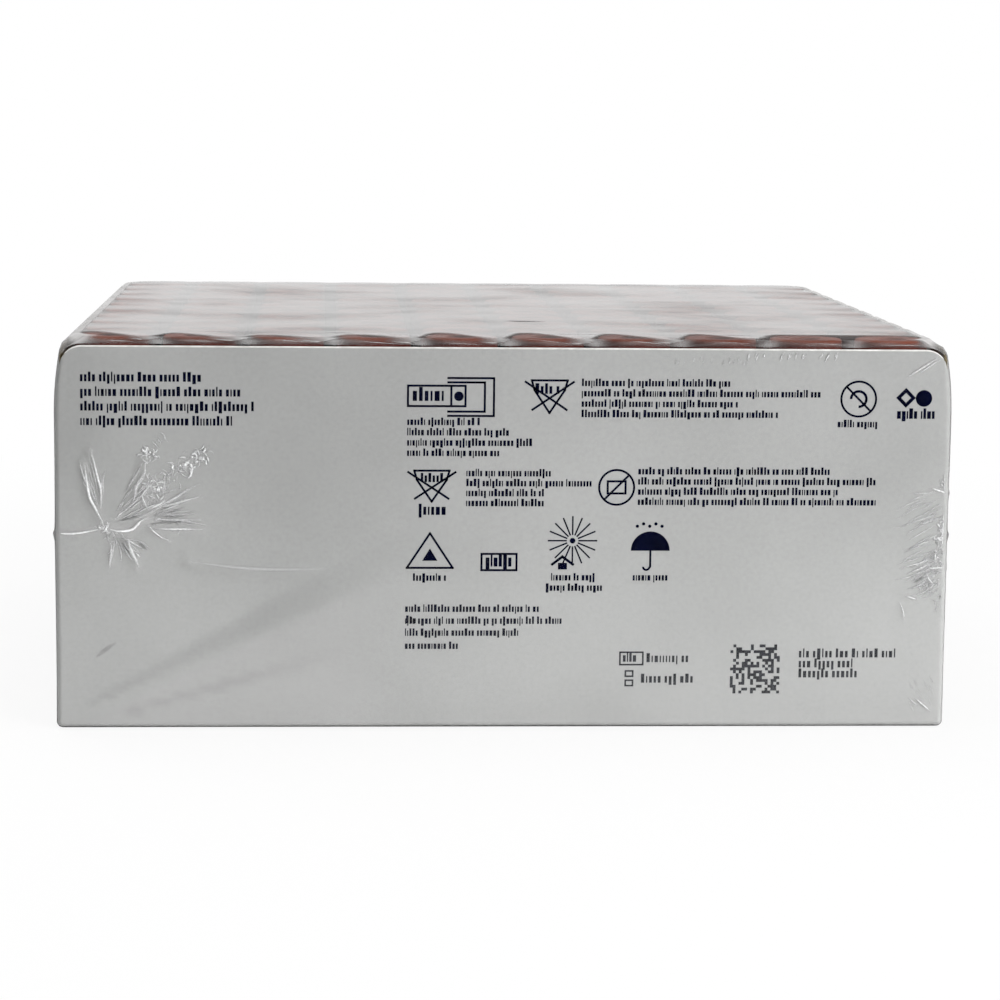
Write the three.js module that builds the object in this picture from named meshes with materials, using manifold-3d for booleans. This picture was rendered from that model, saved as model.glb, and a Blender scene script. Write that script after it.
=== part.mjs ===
// A shrink-wrapped pack of stoppered blood collection tubes. A folded paperboard tray holds a foam
// rack, the rack holds a square of glass tubes with rubber stoppers, and a clear film is shrunk
// round the whole. Millimetres, +Z up, the front faces -Y, and the origin is the middle of the
// underside. Things that touch keep a small gap, fitGap, between them.

import * as THREE from "three";
import { mergeVertices } from "three/addons/utils/BufferGeometryUtils.js";
import Module from "manifold-3d";

const wasm = await Module();
wasm.setup();

// The square of tubes.
const columns = 10;
const rows = 10;
const stopperSpacing = 2.7; // between the heads of neighbouring stoppers
const sidePlay = 1.4; // between the outermost tubes' own cells and the tray's walls
const fitGap = 0.3;

// Glass tube, open at the top, with a half-round bottom.
const tubeDiameter = 13;
const tubeLength = 75;
const tubeWall = 1;

// Rubber stopper: a head that covers the rim, and a plug inside the bore.
const headHeight = 5;
const headLip = 1.3; // how far the head stands out past the glass
const headChamfer = 0.6;
const targetDiameter = 6.4; // the recess in the head that the needle goes in through
const targetDepth = 1.2;
const plugLength = 9;
const plugHollowDiameter = 5;
const plugHollowDepth = 5;

// Expanded foam rack, a block that the tubes stand through.
const rackHeight = 30;
const rackHoleClearance = 0.3;
const rackCornerRadius = 3;
const fusedTubeSink = 1; // how deep the fused tubes reach into the rack

// Paperboard tray, folded up from one sheet.
const boardThickness = 0.6;
const headRise = 1.4; // how far the stoppers stand above the walls
const wallFoldRadius = 1.4; // inside, at the four upright folds
const floorFoldRadius = 1.2; // inside, round the floor
const panelCornerRadius = 5; // the rounded top corners of each wall
const flapLength = 28; // the glue flaps inside the front and back walls
const flapEndSlope = 6;
const flapSink = 0.1; // the flaps are glued flat to the wall, so they are one with it

// Shrink film.
const filmThickness = 0.3;
const filmDip = 1.1; // how far the film's shoulder sinks between two stoppers
const crestShare = 0.7; // the part of a stopper's radius that holds the shoulder up
const valleyHalfWidth = 1.6;
const crestTuck = 0.15; // how far the shoulder is drawn in towards the outer stoppers
const notchSpan = 0.6; // how early the film leaves the walls' rounded corners
const seamProud = 0.4; // the weld that runs round the left, back and right
const seamHalfWidth = 0.6;
const ventDiameter = 3;
const ventHeight = 18;

// Gathers: where the weld ends on the front, the film is drawn into rays.
const leftGatherInset = 10.6; // from the film's left and right sides
const rightGatherInset = 6.4;
const gatherRays = 9;
const longRay = 17;
const shortRay = 9;
const rayHalfWidth = 0.5;
const rayOverlap = 1; // how far a ray starts behind the middle of its gather
const raySweep = THREE.MathUtils.degToRad(150);

// Fineness of the round forms.
const frontSides = 12; // round a front tube and its stopper
const fusedSides = 8; // round a tube of the rows behind
const bottomSteps = 3; // from a tube's tip to its straight wall
const floorFoldSteps = 2;
const arcStations = 2; // on each half of an upright fold
const wallStations = [0.2, 0.55, 1]; // shares of the way from the fold to the straight top edge
const crestSteps = 6; // round a corner stopper, at the film's shoulder
const capSteps = 3;
const weldDistance = 1e-3; // vertices closer than this are one

// Sizes that follow.
const quarterTurn = Math.PI / 2;
const tubeRadius = tubeDiameter / 2;
const boreRadius = tubeRadius - tubeWall;
const headRadius = tubeRadius + headLip;
const pitch = 2 * headRadius + stopperSpacing;
const outerColumn = ((columns - 1) / 2) * pitch;
const outerRow = ((rows - 1) / 2) * pitch;
const innerHalfWidth = outerColumn + pitch / 2 + sidePlay;
const innerHalfDepth = outerRow + pitch / 2 + sidePlay;
const trayHalfWidth = innerHalfWidth + boardThickness;
const trayHalfDepth = innerHalfDepth + boardThickness;
const foldRadius = wallFoldRadius + boardThickness; // outside
const floorRadius = Math.min(floorFoldRadius + boardThickness, 0.9 * foldRadius); // outside
const halfArc = (foldRadius * quarterTurn) / 2;
const edgeRadius = Math.max(panelCornerRadius, 1.5 * halfArc);
const filmInside = fitGap; // how far the film's two faces stand off the board
const filmOutside = fitGap + filmThickness;
const trayBase = filmOutside;
const trayFloor = trayBase + boardThickness;
const tubeBase = trayFloor + fitGap;
const rackTop = tubeBase + rackHeight;
const tubeRim = tubeBase + tubeLength;
const headSeat = tubeRim + fitGap;
const headTop = headSeat + headHeight;
const wallTop = headTop - headRise;
const packHeight = headTop + filmOutside;
const seamHeight = packHeight / 2;
const frontFace = -(trayHalfDepth + filmOutside);

const paperboard = new THREE.MeshStandardMaterial({ color: 0xaeb1b0, roughness: 0.55, metalness: 0 });
const foam = new THREE.MeshStandardMaterial({ color: 0xf1f1ee, roughness: 0.9, metalness: 0 });
const glass = new THREE.MeshStandardMaterial({
  color: 0xd9e4e6,
  roughness: 0.08,
  metalness: 0,
  transparent: true,
  opacity: 0.45,
});
const rubber = new THREE.MeshStandardMaterial({ color: 0x9c4636, roughness: 0.6, metalness: 0 });
const film = new THREE.MeshStandardMaterial({
  color: 0xeef0f1,
  roughness: 0.15,
  metalness: 0,
  transparent: true,
  opacity: 0.3,
});

// Manifold solid from a closed geometry, with its shared vertices merged.
function solidOf(geometry) {
  const bare = new THREE.BufferGeometry();
  bare.setAttribute("position", geometry.getAttribute("position"));
  bare.setIndex(geometry.index);
  const merged = mergeVertices(bare, weldDistance);
  const mesh = new wasm.Mesh({
    numProp: 3,
    vertProperties: merged.getAttribute("position").array,
    triVerts: new Uint32Array(merged.index.array),
  });
  return new wasm.Manifold(mesh);
}

function geometryOf(solid) {
  const mesh = solid.getMesh();
  const geometry = new THREE.BufferGeometry();
  geometry.setAttribute("position", new THREE.BufferAttribute(mesh.vertProperties, mesh.numProp));
  geometry.setIndex(new THREE.BufferAttribute(mesh.triVerts, 1));
  geometry.computeVertexNormals();
  return geometry;
}

function unit(angle) {
  return new THREE.Vector2(Math.cos(angle), Math.sin(angle));
}

// A solid of revolution about Z from a profile of [radius, height] pairs, which runs from the axis
// at the bottom, round the outside, to the axis again.
function turned(profile, sides) {
  const points = profile.map(([radius, height]) => new THREE.Vector2(radius, height));
  return new THREE.LatheGeometry(points, sides).rotateX(quarterTurn);
}

// ---- Tube and stopper ----

// A quarter circle from the axis up to the given radius, as [radius, height] pairs round a centre
// at centreHeight.
function roundBottom(radius, centreHeight) {
  const points = [];
  for (let step = 0; step <= bottomSteps; step++) {
    const angle = (step / bottomSteps) * quarterTurn;
    points.push([radius * Math.sin(angle), centreHeight - radius * Math.cos(angle)]);
  }
  return points;
}

// The glass, standing on z = 0.
function tubeGeometry() {
  const outside = roundBottom(tubeRadius, tubeRadius);
  const inside = roundBottom(boreRadius, tubeRadius).reverse();
  const rim = [
    [tubeRadius, tubeLength],
    [boreRadius, tubeLength],
  ];
  return turned([...outside, ...rim, ...inside], frontSides);
}

// The head's outside, from the lip's underside at z = 0 to the top face's edge.
function headProfile() {
  return [
    [headRadius, 0],
    [headRadius, headHeight - headChamfer],
    [headRadius - headChamfer, headHeight],
  ];
}

// The stopper, with the underside of its head on z = 0.
function stopperGeometry() {
  const plugRadius = boreRadius - fitGap;
  const hollowRadius = plugHollowDiameter / 2;
  const targetRadius = targetDiameter / 2;
  const plug = [
    [0, plugHollowDepth - plugLength],
    [hollowRadius, plugHollowDepth - plugLength],
    [hollowRadius, -plugLength],
    [plugRadius, -plugLength],
    [plugRadius, 0],
  ];
  const target = [
    [targetRadius, headHeight],
    [targetRadius, headHeight - targetDepth],
    [0, headHeight - targetDepth],
  ];
  return turned([...plug, ...headProfile(), ...target], frontSides);
}

// A tube of the rows behind with its stopper, as one closed form that starts inside the rack.
function fusedTubeGeometry() {
  const start = rackTop - fusedTubeSink;
  const glassPart = [
    [0, start],
    [tubeRadius, start],
    [tubeRadius, headSeat],
  ];
  const headPart = headProfile().map(([radius, height]) => [radius, headSeat + height]);
  return turned([...glassPart, ...headPart, [0, headTop]], fusedSides);
}

// ---- Rack ----

function columnX(column) {
  return column * pitch - outerColumn;
}

function rowY(row) {
  return row * pitch - outerRow;
}

function roundedRectangle(halfWidth, halfDepth, radius) {
  const shape = new THREE.Shape();
  for (let corner = 0; corner < 4; corner++) {
    const middle = (corner - 0.5) * quarterTurn;
    const x = Math.sign(Math.cos(middle)) * (halfWidth - radius);
    const y = Math.sign(Math.sin(middle)) * (halfDepth - radius);
    shape.absarc(x, y, radius, middle - quarterTurn / 2, middle + quarterTurn / 2);
  }
  return shape;
}

// The block clears the glue flaps and the floor's fold. Its front row has open holes, and the
// tubes behind are fused to it.
function rackGeometry() {
  const margin = Math.max(boardThickness, floorFoldRadius) + fitGap;
  const halfWidth = innerHalfWidth - margin;
  const outline = roundedRectangle(halfWidth, innerHalfDepth - margin, rackCornerRadius);
  for (let column = 0; column < columns; column++) {
    const hole = new THREE.Path();
    hole.absarc(columnX(column), rowY(0), tubeRadius + rackHoleClearance, 0, 2 * Math.PI, true);
    outline.holes.push(hole);
  }
  const block = new THREE.ExtrudeGeometry(outline, {
    depth: rackHeight,
    bevelEnabled: false,
    curveSegments: frontSides / 2,
  }).translate(0, 0, tubeBase);
  let rack = solidOf(block);
  const tube = solidOf(fusedTubeGeometry());
  for (let row = 1; row < rows; row++) {
    for (let column = 0; column < columns; column++) {
      rack = rack.add(tube.translate(columnX(column), rowY(row), 0));
    }
  }
  return geometryOf(rack);
}

// ---- Rings round the pack ----
// The tray and the film are skins over rings of points that run counter-clockwise, seen from
// above. Corner 0 is at the front right, and each corner is followed by the wall after it.

// A station on or beside an upright fold of the tray, numbered from -5 to 5 across the corner.
function cornerStation(corner, number) {
  const side = Math.sign(number);
  const count = Math.abs(number);
  const middle = (corner - 0.5) * quarterTurn;
  const onArc = Math.min(count, arcStations) / arcStations;
  const normal = unit(middle + (side * onArc * quarterTurn) / 2);
  const share = count > arcStations ? wallStations[count - arcStations - 1] : 0;
  const run = (edgeRadius - halfArc) * share;
  const centreX = Math.sign(Math.cos(middle)) * (trayHalfWidth - foldRadius);
  const centreY = Math.sign(Math.sin(middle)) * (trayHalfDepth - foldRadius);
  return {
    x: centreX + foldRadius * normal.x - side * run * normal.y,
    y: centreY + foldRadius * normal.y + side * run * normal.x,
    normal,
    fromFold: onArc * halfArc + run,
  };
}

function cornerStations(corner) {
  const reach = arcStations + wallStations.length;
  const stations = [];
  for (let number = -reach; number <= reach; number++) {
    stations.push(cornerStation(corner, number));
  }
  return stations;
}

// The wall after a corner: its outward normal, how many stoppers stand along it, and how far out
// the board and the middles of those stoppers lie.
function wallAfter(corner) {
  const alongX = corner % 2 === 1;
  return {
    normal: unit(corner * quarterTurn),
    count: alongX ? columns : rows,
    wallLine: alongX ? trayHalfDepth : trayHalfWidth,
    stopperLine: alongX ? outerRow : outerColumn,
  };
}

// A point on a wall, "along" it from the valley numbered m between two stoppers.
function wallPoint(corner, line, m, along, z) {
  const { normal, count } = wallAfter(corner);
  const run = (m - count / 2) * pitch + along;
  return { x: line * normal.x - run * normal.y, y: line * normal.y + run * normal.x, z };
}

function moved(station, out, z) {
  return { x: station.x + out * station.normal.x, y: station.y + out * station.normal.y, z };
}

// All the corner stations, moved out by "out", at the heights that a function gives.
function stationRing(out, heightOf) {
  const corners = [0, 1, 2, 3].flatMap(cornerStations);
  return corners.map((station) => moved(station, out, heightOf(station)));
}

// The curve of a wall's top edge, "out" away from the board: a quarter circle near each fold.
function edgeHeight(fromFold, out) {
  const inside = Math.max(edgeRadius - fromFold, 0);
  return wallTop - edgeRadius + Math.sqrt((edgeRadius + out) ** 2 - inside ** 2);
}

// Rings from the flat of the floor round the floor's fold to the upright wall.
function floorRings(out) {
  const radius = floorRadius + out;
  const rings = [];
  for (let step = 0; step <= floorFoldSteps; step++) {
    const angle = (step / floorFoldSteps) * quarterTurn;
    const z = trayBase - out + radius * (1 - Math.cos(angle));
    rings.push(stationRing(out - radius * (1 - Math.sin(angle)), () => z));
  }
  return rings;
}

function planDistance(a, b) {
  return Math.hypot(a.x - b.x, a.y - b.y);
}

// Triangles between two rings that start side by side. The diagonal that is shorter in plan wins.
function bridge(triangles, low, high) {
  let i = 0;
  let j = 0;
  while (i < low.length || j < high.length) {
    const a = low[i % low.length];
    const b = high[j % high.length];
    const nextA = low[(i + 1) % low.length];
    const nextB = high[(j + 1) % high.length];
    const lowStep = planDistance(nextA, b) <= planDistance(a, nextB);
    if (j === high.length || (i < low.length && lowStep)) {
      triangles.push([a, nextA, b]);
      i += 1;
    } else {
      triangles.push([a, nextB, b]);
      j += 1;
    }
  }
}

// A closed geometry over rings; the first and the last are flat and are capped.
function skin(rings) {
  const triangles = [];
  const bottom = rings[0];
  const top = rings[rings.length - 1];
  for (let k = 1; k < bottom.length - 1; k++) {
    triangles.push([bottom[0], bottom[k + 1], bottom[k]]);
  }
  for (let k = 1; k < rings.length; k++) {
    bridge(triangles, rings[k - 1], rings[k]);
  }
  for (let k = 1; k < top.length - 1; k++) {
    triangles.push([top[0], top[k], top[k + 1]]);
  }
  const positions = new Float32Array(triangles.flat().flatMap(({ x, y, z }) => [x, y, z]));
  const geometry = new THREE.BufferGeometry();
  geometry.setAttribute("position", new THREE.BufferAttribute(positions, 3));
  return geometry;
}

// ---- Tray ----

// A glue flap, from the upright fold along the inside of the front wall at the right.
function flapSolid() {
  const start = innerHalfWidth - wallFoldRadius;
  const end = start - flapLength;
  const bottom = trayFloor + floorFoldRadius + fitGap;
  const top = wallTop - edgeRadius;
  const outline = new THREE.Shape();
  outline.moveTo(start, bottom);
  outline.lineTo(start, top);
  outline.lineTo(end + flapEndSlope, top);
  outline.lineTo(end, top - flapEndSlope);
  outline.lineTo(end, bottom + flapEndSlope);
  outline.lineTo(end + flapEndSlope, bottom);
  const depth = boardThickness + flapSink;
  const flap = new THREE.ExtrudeGeometry(outline, { depth, bevelEnabled: false });
  flap.rotateX(quarterTurn).translate(0, depth - innerHalfDepth - flapSink, 0);
  return solidOf(flap);
}

function trayGeometry() {
  const cutEdge = (station) => edgeHeight(station.fromFold, 0);
  const outside = [...floorRings(0), stationRing(0, cutEdge)];
  const inside = [...floorRings(-boardThickness), stationRing(-boardThickness, cutEdge)].reverse();
  const flap = flapSolid();
  const folded = solidOf(skin([...outside, ...inside]))
    .add(flap)
    .add(flap.mirror([1, 0, 0]))
    .add(flap.mirror([0, 1, 0]))
    .add(flap.mirror([1, 0, 0]).mirror([0, 1, 0]));
  return geometryOf(folded);
}

// ---- Shrink film ----

// The film's upper edge along the walls: the corner stations, where the film spans the notch at
// the fold, and one point at each valley.
function edgeRing(out) {
  const ring = [];
  for (let corner = 0; corner < 4; corner++) {
    for (const station of cornerStations(corner)) {
      ring.push(moved(station, out, edgeHeight(station.fromFold + notchSpan, out)));
    }
    const { count, wallLine } = wallAfter(corner);
    for (let m = 1; m < count; m++) {
      ring.push(wallPoint(corner, wallLine + out, m, 0, wallTop + out));
    }
  }
  return ring;
}

// An arc round a corner stopper's middle.
function cornerArc(corner, radius, steps, z) {
  const middle = (corner - 0.5) * quarterTurn;
  const points = [];
  for (let step = 0; step <= steps; step++) {
    const normal = unit(middle + (step / steps - 0.5) * quarterTurn);
    points.push({
      x: Math.sign(Math.cos(middle)) * outerColumn + radius * normal.x,
      y: Math.sign(Math.sin(middle)) * outerRow + radius * normal.y,
      z,
    });
  }
  return points;
}

// A ring round the outer stoppers, "radius" from their middles. At each valley between two of
// them it passes the given offsets, each [along, dip].
function stopperRing(radius, steps, top, valley) {
  const ring = [];
  for (let corner = 0; corner < 4; corner++) {
    const { count, stopperLine } = wallAfter(corner);
    ring.push(...cornerArc(corner, radius, steps, top));
    for (let m = 1; m < count; m++) {
      for (const [along, dip] of valley) {
        ring.push(wallPoint(corner, stopperLine + radius, m, along, top - dip));
      }
    }
  }
  return ring;
}

// The two rings of the film's top: the scalloped shoulder, and the edge of the flat.
function topRings(out) {
  const top = headTop + out;
  const radius = headRadius + out - crestTuck;
  const mouth = pitch / 2 - crestShare * headRadius;
  const floor = Math.min(valleyHalfWidth, mouth / 2);
  const valley = [
    [-mouth, 0],
    [-floor, filmDip],
    [floor, filmDip],
    [mouth, 0],
  ];
  const flatValley = [
    [-mouth, 0],
    [mouth, 0],
  ];
  const shoulder = stopperRing(radius, crestSteps, top, valley);
  const flat = stopperRing(radius / 2, capSteps, top, flatValley);
  return [shoulder, flat];
}

// The weld's ridge, which is left out on the front face.
function seamRings(out) {
  const corners = [0, 1, 2, 3].flatMap(cornerStations);
  const proud = (station) => (station.normal.y > -0.8 ? seamProud : 0);
  return [
    stationRing(out, () => seamHeight - seamHalfWidth),
    corners.map((station) => moved(station, out + proud(station), seamHeight)),
    stationRing(out, () => seamHeight + seamHalfWidth),
  ];
}

// One ray of a gather: a low spindle on the front face, from a point in a direction.
function raySolid(x, angle, length) {
  const ray = new THREE.OctahedronGeometry(1);
  ray.scale(length / 2, seamProud, rayHalfWidth);
  ray.translate(length / 2 - rayOverlap, 0, 0);
  ray.rotateY(-angle).translate(x, frontFace, seamHeight);
  return solidOf(ray);
}

// The rays of one gather. Its inward direction is 0 at the left and half a turn at the right.
function gatherRaysOf(side, inset) {
  const x = side * (trayHalfWidth + filmOutside - inset);
  const inward = side > 0 ? Math.PI : 0;
  const rays = [raySolid(x, inward + Math.PI, inset - foldRadius)];
  for (let k = 0; k < gatherRays; k++) {
    const angle = inward + (k / (gatherRays - 1) - 0.5) * raySweep;
    rays.push(raySolid(x, angle, k % 2 ? shortRay : longRay));
  }
  return rays;
}

function ventSolid() {
  const reach = 2 * (trayHalfWidth + 2 * filmOutside);
  const vent = new THREE.CylinderGeometry(ventDiameter / 2, ventDiameter / 2, reach, frontSides);
  return solidOf(vent.rotateZ(quarterTurn).translate(0, 0, ventHeight));
}

function filmGeometry() {
  const outerRings = [
    ...floorRings(filmOutside),
    ...seamRings(filmOutside),
    edgeRing(filmOutside),
    ...topRings(filmOutside),
  ];
  const innerRings = [...floorRings(filmInside), edgeRing(filmInside), ...topRings(filmInside)];
  let wrap = solidOf(skin(outerRings));
  const rays = [...gatherRaysOf(-1, leftGatherInset), ...gatherRaysOf(1, rightGatherInset)];
  for (const ray of rays) {
    wrap = wrap.add(ray);
  }
  return geometryOf(wrap.subtract(solidOf(skin(innerRings))).subtract(ventSolid()));
}

// ---- The pack ----

function place(parent, name, geometry, material, x, y, z) {
  const mesh = new THREE.Mesh(geometry, material);
  mesh.name = name;
  mesh.position.set(x, y, z);
  parent.add(mesh);
}

const pack = new THREE.Group();
place(pack, "tray", trayGeometry(), paperboard, 0, 0, 0);
place(pack, "tube_rack", rackGeometry(), foam, 0, 0, 0);
place(pack, "shrink_film", filmGeometry(), film, 0, 0, 0);

const frontRow = new THREE.Group();
frontRow.position.set(0, rowY(0), 0);
const tubeForm = tubeGeometry();
const stopperForm = stopperGeometry();
for (let column = 0; column < columns; column++) {
  const number = String(column + 1).padStart(2, "0");
  place(frontRow, `tube_${number}`, tubeForm, glass, columnX(column), 0, tubeBase);
  place(frontRow, `stopper_${number}`, stopperForm, rubber, columnX(column), 0, headSeat);
}
pack.add(frontRow);

export default pack;
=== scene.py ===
import math
import random

import bpy
import numpy as np
from mathutils import Matrix, Vector, noise


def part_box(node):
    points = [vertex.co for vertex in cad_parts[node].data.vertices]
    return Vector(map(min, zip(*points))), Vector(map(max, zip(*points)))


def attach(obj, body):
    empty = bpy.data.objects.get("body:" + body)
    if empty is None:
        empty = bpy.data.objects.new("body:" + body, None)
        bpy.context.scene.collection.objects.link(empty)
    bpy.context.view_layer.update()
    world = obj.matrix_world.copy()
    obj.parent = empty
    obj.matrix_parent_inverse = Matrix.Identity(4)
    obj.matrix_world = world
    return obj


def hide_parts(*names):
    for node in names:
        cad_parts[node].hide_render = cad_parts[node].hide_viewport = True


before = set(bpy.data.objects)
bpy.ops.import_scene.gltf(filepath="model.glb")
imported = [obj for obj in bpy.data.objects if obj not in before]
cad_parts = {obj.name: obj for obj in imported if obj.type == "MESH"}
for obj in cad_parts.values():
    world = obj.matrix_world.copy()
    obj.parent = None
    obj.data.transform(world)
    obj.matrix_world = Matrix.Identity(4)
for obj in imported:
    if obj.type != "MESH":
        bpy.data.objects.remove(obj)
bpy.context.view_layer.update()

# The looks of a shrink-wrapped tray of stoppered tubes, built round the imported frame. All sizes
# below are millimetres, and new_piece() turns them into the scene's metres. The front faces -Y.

MM = 0.001
CORNER_SIGNS = [(1, -1), (1, 1), (-1, 1), (-1, -1)]


# ---- Sizes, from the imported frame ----

def node_box(name):
    low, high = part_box(name)
    return Vector(low) / MM, Vector(high) / MM


tray_low, tray_high = node_box("tray")
film_low, _ = node_box("shrink_film")
rack_low, rack_high = node_box("tube_rack")
tube_low, tube_high = node_box("tube_01")
head_low, head_high = node_box("stopper_01")
next_head_low, _ = node_box("stopper_02")
front_tubes = sorted(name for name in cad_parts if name.startswith("tube_0") or name == "tube_10")
COUNT = len(front_tubes)

HALF = tray_high.x  # the tray is square in plan
FILM_GAP = 0.22  # from the board's walls to the film's outer face
WALL_TOP = tray_high.z
HEAD_TOP = head_high.z
PITCH = next_head_low.x - head_low.x
OUTER = (COUNT - 1) / 2 * PITCH  # the middle of the outermost tubes
HEAD_RADIUS = (head_high.x - head_low.x) / 2
TUBE_RADIUS = (tube_high.x - tube_low.x) / 2

BOARD = 0.6
FOLD_RADIUS = 1.1
FLOOR_RADIUS = 1.1
FOOT = film_low.z + 0.25  # the underside of the board
LEAN = 1.4  # how far the film draws the side walls in at their top
LEAN_FROM = 66.0
EDGE_RADIUS = 4.0  # the rounded top corners of the tray's walls
TUBE_WALL = 1.0
HEAD_HEIGHT = 5.0
SEAT = HEAD_TOP - HEAD_HEIGHT  # the underside of the stoppers' heads
HOLE_CLEARANCE = 0.3
FILM_SKIN = 0.12  # the film as drawn
FRONT = -HALF  # the outer face of the front wall


# ---- Meshes ----

def new_piece(name, vertices, faces, materials, replaces=(), smooth=True):
    """A mesh from millimetres, with one material or a list of them, riding on the part's body."""
    mesh = bpy.data.meshes.new(name)
    scaled = (np.asarray(vertices, dtype=float) * MM).tolist()
    mesh.from_pydata(scaled, [], [list(face) for face in faces])
    mesh.update()
    piece = bpy.data.objects.new(name, mesh)
    bpy.context.collection.objects.link(piece)
    for material in materials if isinstance(materials, list) else [materials]:
        mesh.materials.append(material)
    mesh.polygons.foreach_set("use_smooth", [smooth] * len(mesh.polygons))
    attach(piece, "root")
    if replaces:
        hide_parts(*replaces)
    return piece


def sharpen(piece, degrees):
    """Keeps the edges that turn by more than an angle crisp on a smooth mesh."""
    piece.data.set_sharp_from_angle(angle=math.radians(degrees))


class Solid:
    """Vertices and faces of one or more closed forms."""

    def __init__(self):
        self.vertices = []
        self.faces = []
        self.kinds = []

    def add(self, vertices, faces, kind=0):
        start = len(self.vertices)
        self.vertices.extend(vertices)
        self.add_faces([[start + index for index in face] for face in faces], kind)

    def add_faces(self, faces, kind=0):
        self.faces.extend(faces)
        self.kinds.extend([kind] * len(faces))


def turned(profile, sides):
    """A solid of revolution about Z. The profile of (radius, height) pairs starts on the axis at
    the bottom, runs round the outside and ends on the axis."""
    vertices = []
    rows = []
    for radius, height in profile:
        if radius == 0:
            rows.append([len(vertices)] * sides)
            vertices.append((0, 0, height))
            continue
        rows.append([len(vertices) + step for step in range(sides)])
        for step in range(sides):
            angle = 2 * math.pi * step / sides
            vertices.append((radius * math.cos(angle), radius * math.sin(angle), height))
    faces = []
    for low, high in zip(rows, rows[1:]):
        for step in range(sides):
            after = (step + 1) % sides
            face = [low[step], low[after], high[after], high[step]]
            face = list(dict.fromkeys(face))
            if len(face) > 2:
                faces.append(face)
    return vertices, faces


def rounded(corner, before, after, radius, steps=4):
    """Points of a fillet at a profile's corner, between two neighbouring points."""
    corner, before, after = Vector(corner), Vector(before), Vector(after)
    start = corner + (before - corner).normalized() * radius
    end = corner + (after - corner).normalized() * radius
    points = []
    for step in range(steps + 1):
        share = step / steps
        point = start.lerp(corner, share).lerp(corner.lerp(end, share), share)
        points.append((point.x, point.y))
    return points


# ---- Materials ----

def add(tree, kind, **values):
    """A shader node of a kind. A value's name is a property of the node or, with spaces as _, an input."""
    made = tree.nodes.new("ShaderNode" + kind)
    for name, value in values.items():
        if name in made.bl_rna.properties:
            setattr(made, name, value)
        else:
            made.inputs[name.replace("_", " ")].default_value = value
    return made


def wire(tree, source, target, socket, output=0):
    tree.links.new(source.outputs[output], target.inputs[socket])


def new_material(name):
    material = bpy.data.materials.new(name)
    material.use_nodes = True
    tree = material.node_tree
    tree.nodes.clear()
    return material, tree, add(tree, "OutputMaterial")


def object_noise(tree, scale, detail=3.0, roughness=0.5):
    place = add(tree, "TexCoord")
    made = add(tree, "TexNoise", Scale=scale, Detail=detail, Roughness=roughness)
    wire(tree, place, made, "Vector", "Object")
    return made


def two_tone(tree, source, dark, light, low=0.35, high=0.65):
    """A colour between dark and light, as a texture runs from low to high."""
    ramp = add(tree, "ValToRGB")
    ramp.color_ramp.elements[0].position = low
    ramp.color_ramp.elements[0].color = (*dark, 1)
    ramp.color_ramp.elements[1].position = high
    ramp.color_ramp.elements[1].color = (*light, 1)
    wire(tree, source, ramp, "Fac")
    return ramp


def blended(tree, first, second, factor, mode="MULTIPLY"):
    mix = add(tree, "MixRGB", blend_type=mode)
    mix.inputs["Fac"].default_value = factor
    wire(tree, first, mix, "Color1")
    wire(tree, second, mix, "Color2")
    return mix


def surface(name, dark, light, spots, grain, roughness, relief, specular=0.5, fade=None):
    """An opaque material: broad spots between two colours, a fine grain in colour and relief.
    Spots and grain are the sizes of the marks in millimetres, relief is the grain's height. A
    fade is painted shade: two heights, and the shares of its colour that the material has at them."""
    material, tree, out = new_material(name)
    shader = add(tree, "BsdfPrincipled", Roughness=roughness, Specular_IOR_Level=specular)
    colour = two_tone(tree, object_noise(tree, 1 / (spots * MM)), dark, light)
    fine = object_noise(tree, 1 / (grain * MM), 5, 0.6)
    shade = two_tone(tree, fine, (0.88, 0.88, 0.88), (1, 1, 1), 0.3, 0.6)
    colour = blended(tree, colour, shade, 0.6)
    # The fade paints shade by height into the colour.
    if fade:
        low, high, low_share, high_share = fade
        place = add(tree, "TexCoord")
        split = add(tree, "SeparateXYZ")
        wire(tree, place, split, 0, "Object")
        height = add(tree, "MapRange", From_Min=low * MM, From_Max=high * MM)
        wire(tree, split, height, "Value", "Z")
        painted_height_shade = two_tone(tree, height, low_share, high_share, 0, 1)
        colour = blended(tree, colour, painted_height_shade, 1)
    wire(tree, colour, shader, "Base Color")
    bump = add(tree, "Bump", Strength=0.6, Distance=relief * MM)
    wire(tree, fine, bump, "Height")
    wire(tree, bump, shader, "Normal")
    wire(tree, shader, out, "Surface")
    return material


FACE_DARK = (0.406, 0.410, 0.404)
FACE_LIGHT = (0.438, 0.442, 0.436)
# Painted shade: the printed board is drawn darker towards the top of the walls.
face_painted_shade = (0, WALL_TOP, (1, 1, 1), (0.78, 0.78, 0.78))
board_face = surface("board_face", FACE_DARK, FACE_LIGHT, 30, 0.9, 0.5, 0.01, 0.2, face_painted_shade)
board_back = surface("board_back", (0.30, 0.265, 0.22), (0.39, 0.35, 0.29), 9, 0.5, 0.85, 0.03, 0.2)
# The next line is the cut edge of the side and back walls: the same edge as board_edge below, drawn darker
# as painted shade.
board_edge_shaded = surface("board_edge_shaded", (0.13, 0.105, 0.06), (0.20, 0.165, 0.10), 3, 0.4, 0.85, 0.03, 0.2)
board_edge = surface("board_edge", (0.60, 0.59, 0.57), (0.76, 0.75, 0.73), 2, 0.25, 0.8, 0.02, 0.2)
NAVY_DARK = (0.0005, 0.001, 0.007)
NAVY_LIGHT = (0.001, 0.002, 0.014)
navy_ink = surface("navy_ink", NAVY_DARK, NAVY_LIGHT, 3, 0.3, 0.6, 0.004, 0.02)
grey_ink = surface("grey_ink", (0.010, 0.011, 0.014), (0.030, 0.032, 0.040), 2, 0.3, 0.6, 0.004, 0.02)
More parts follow.
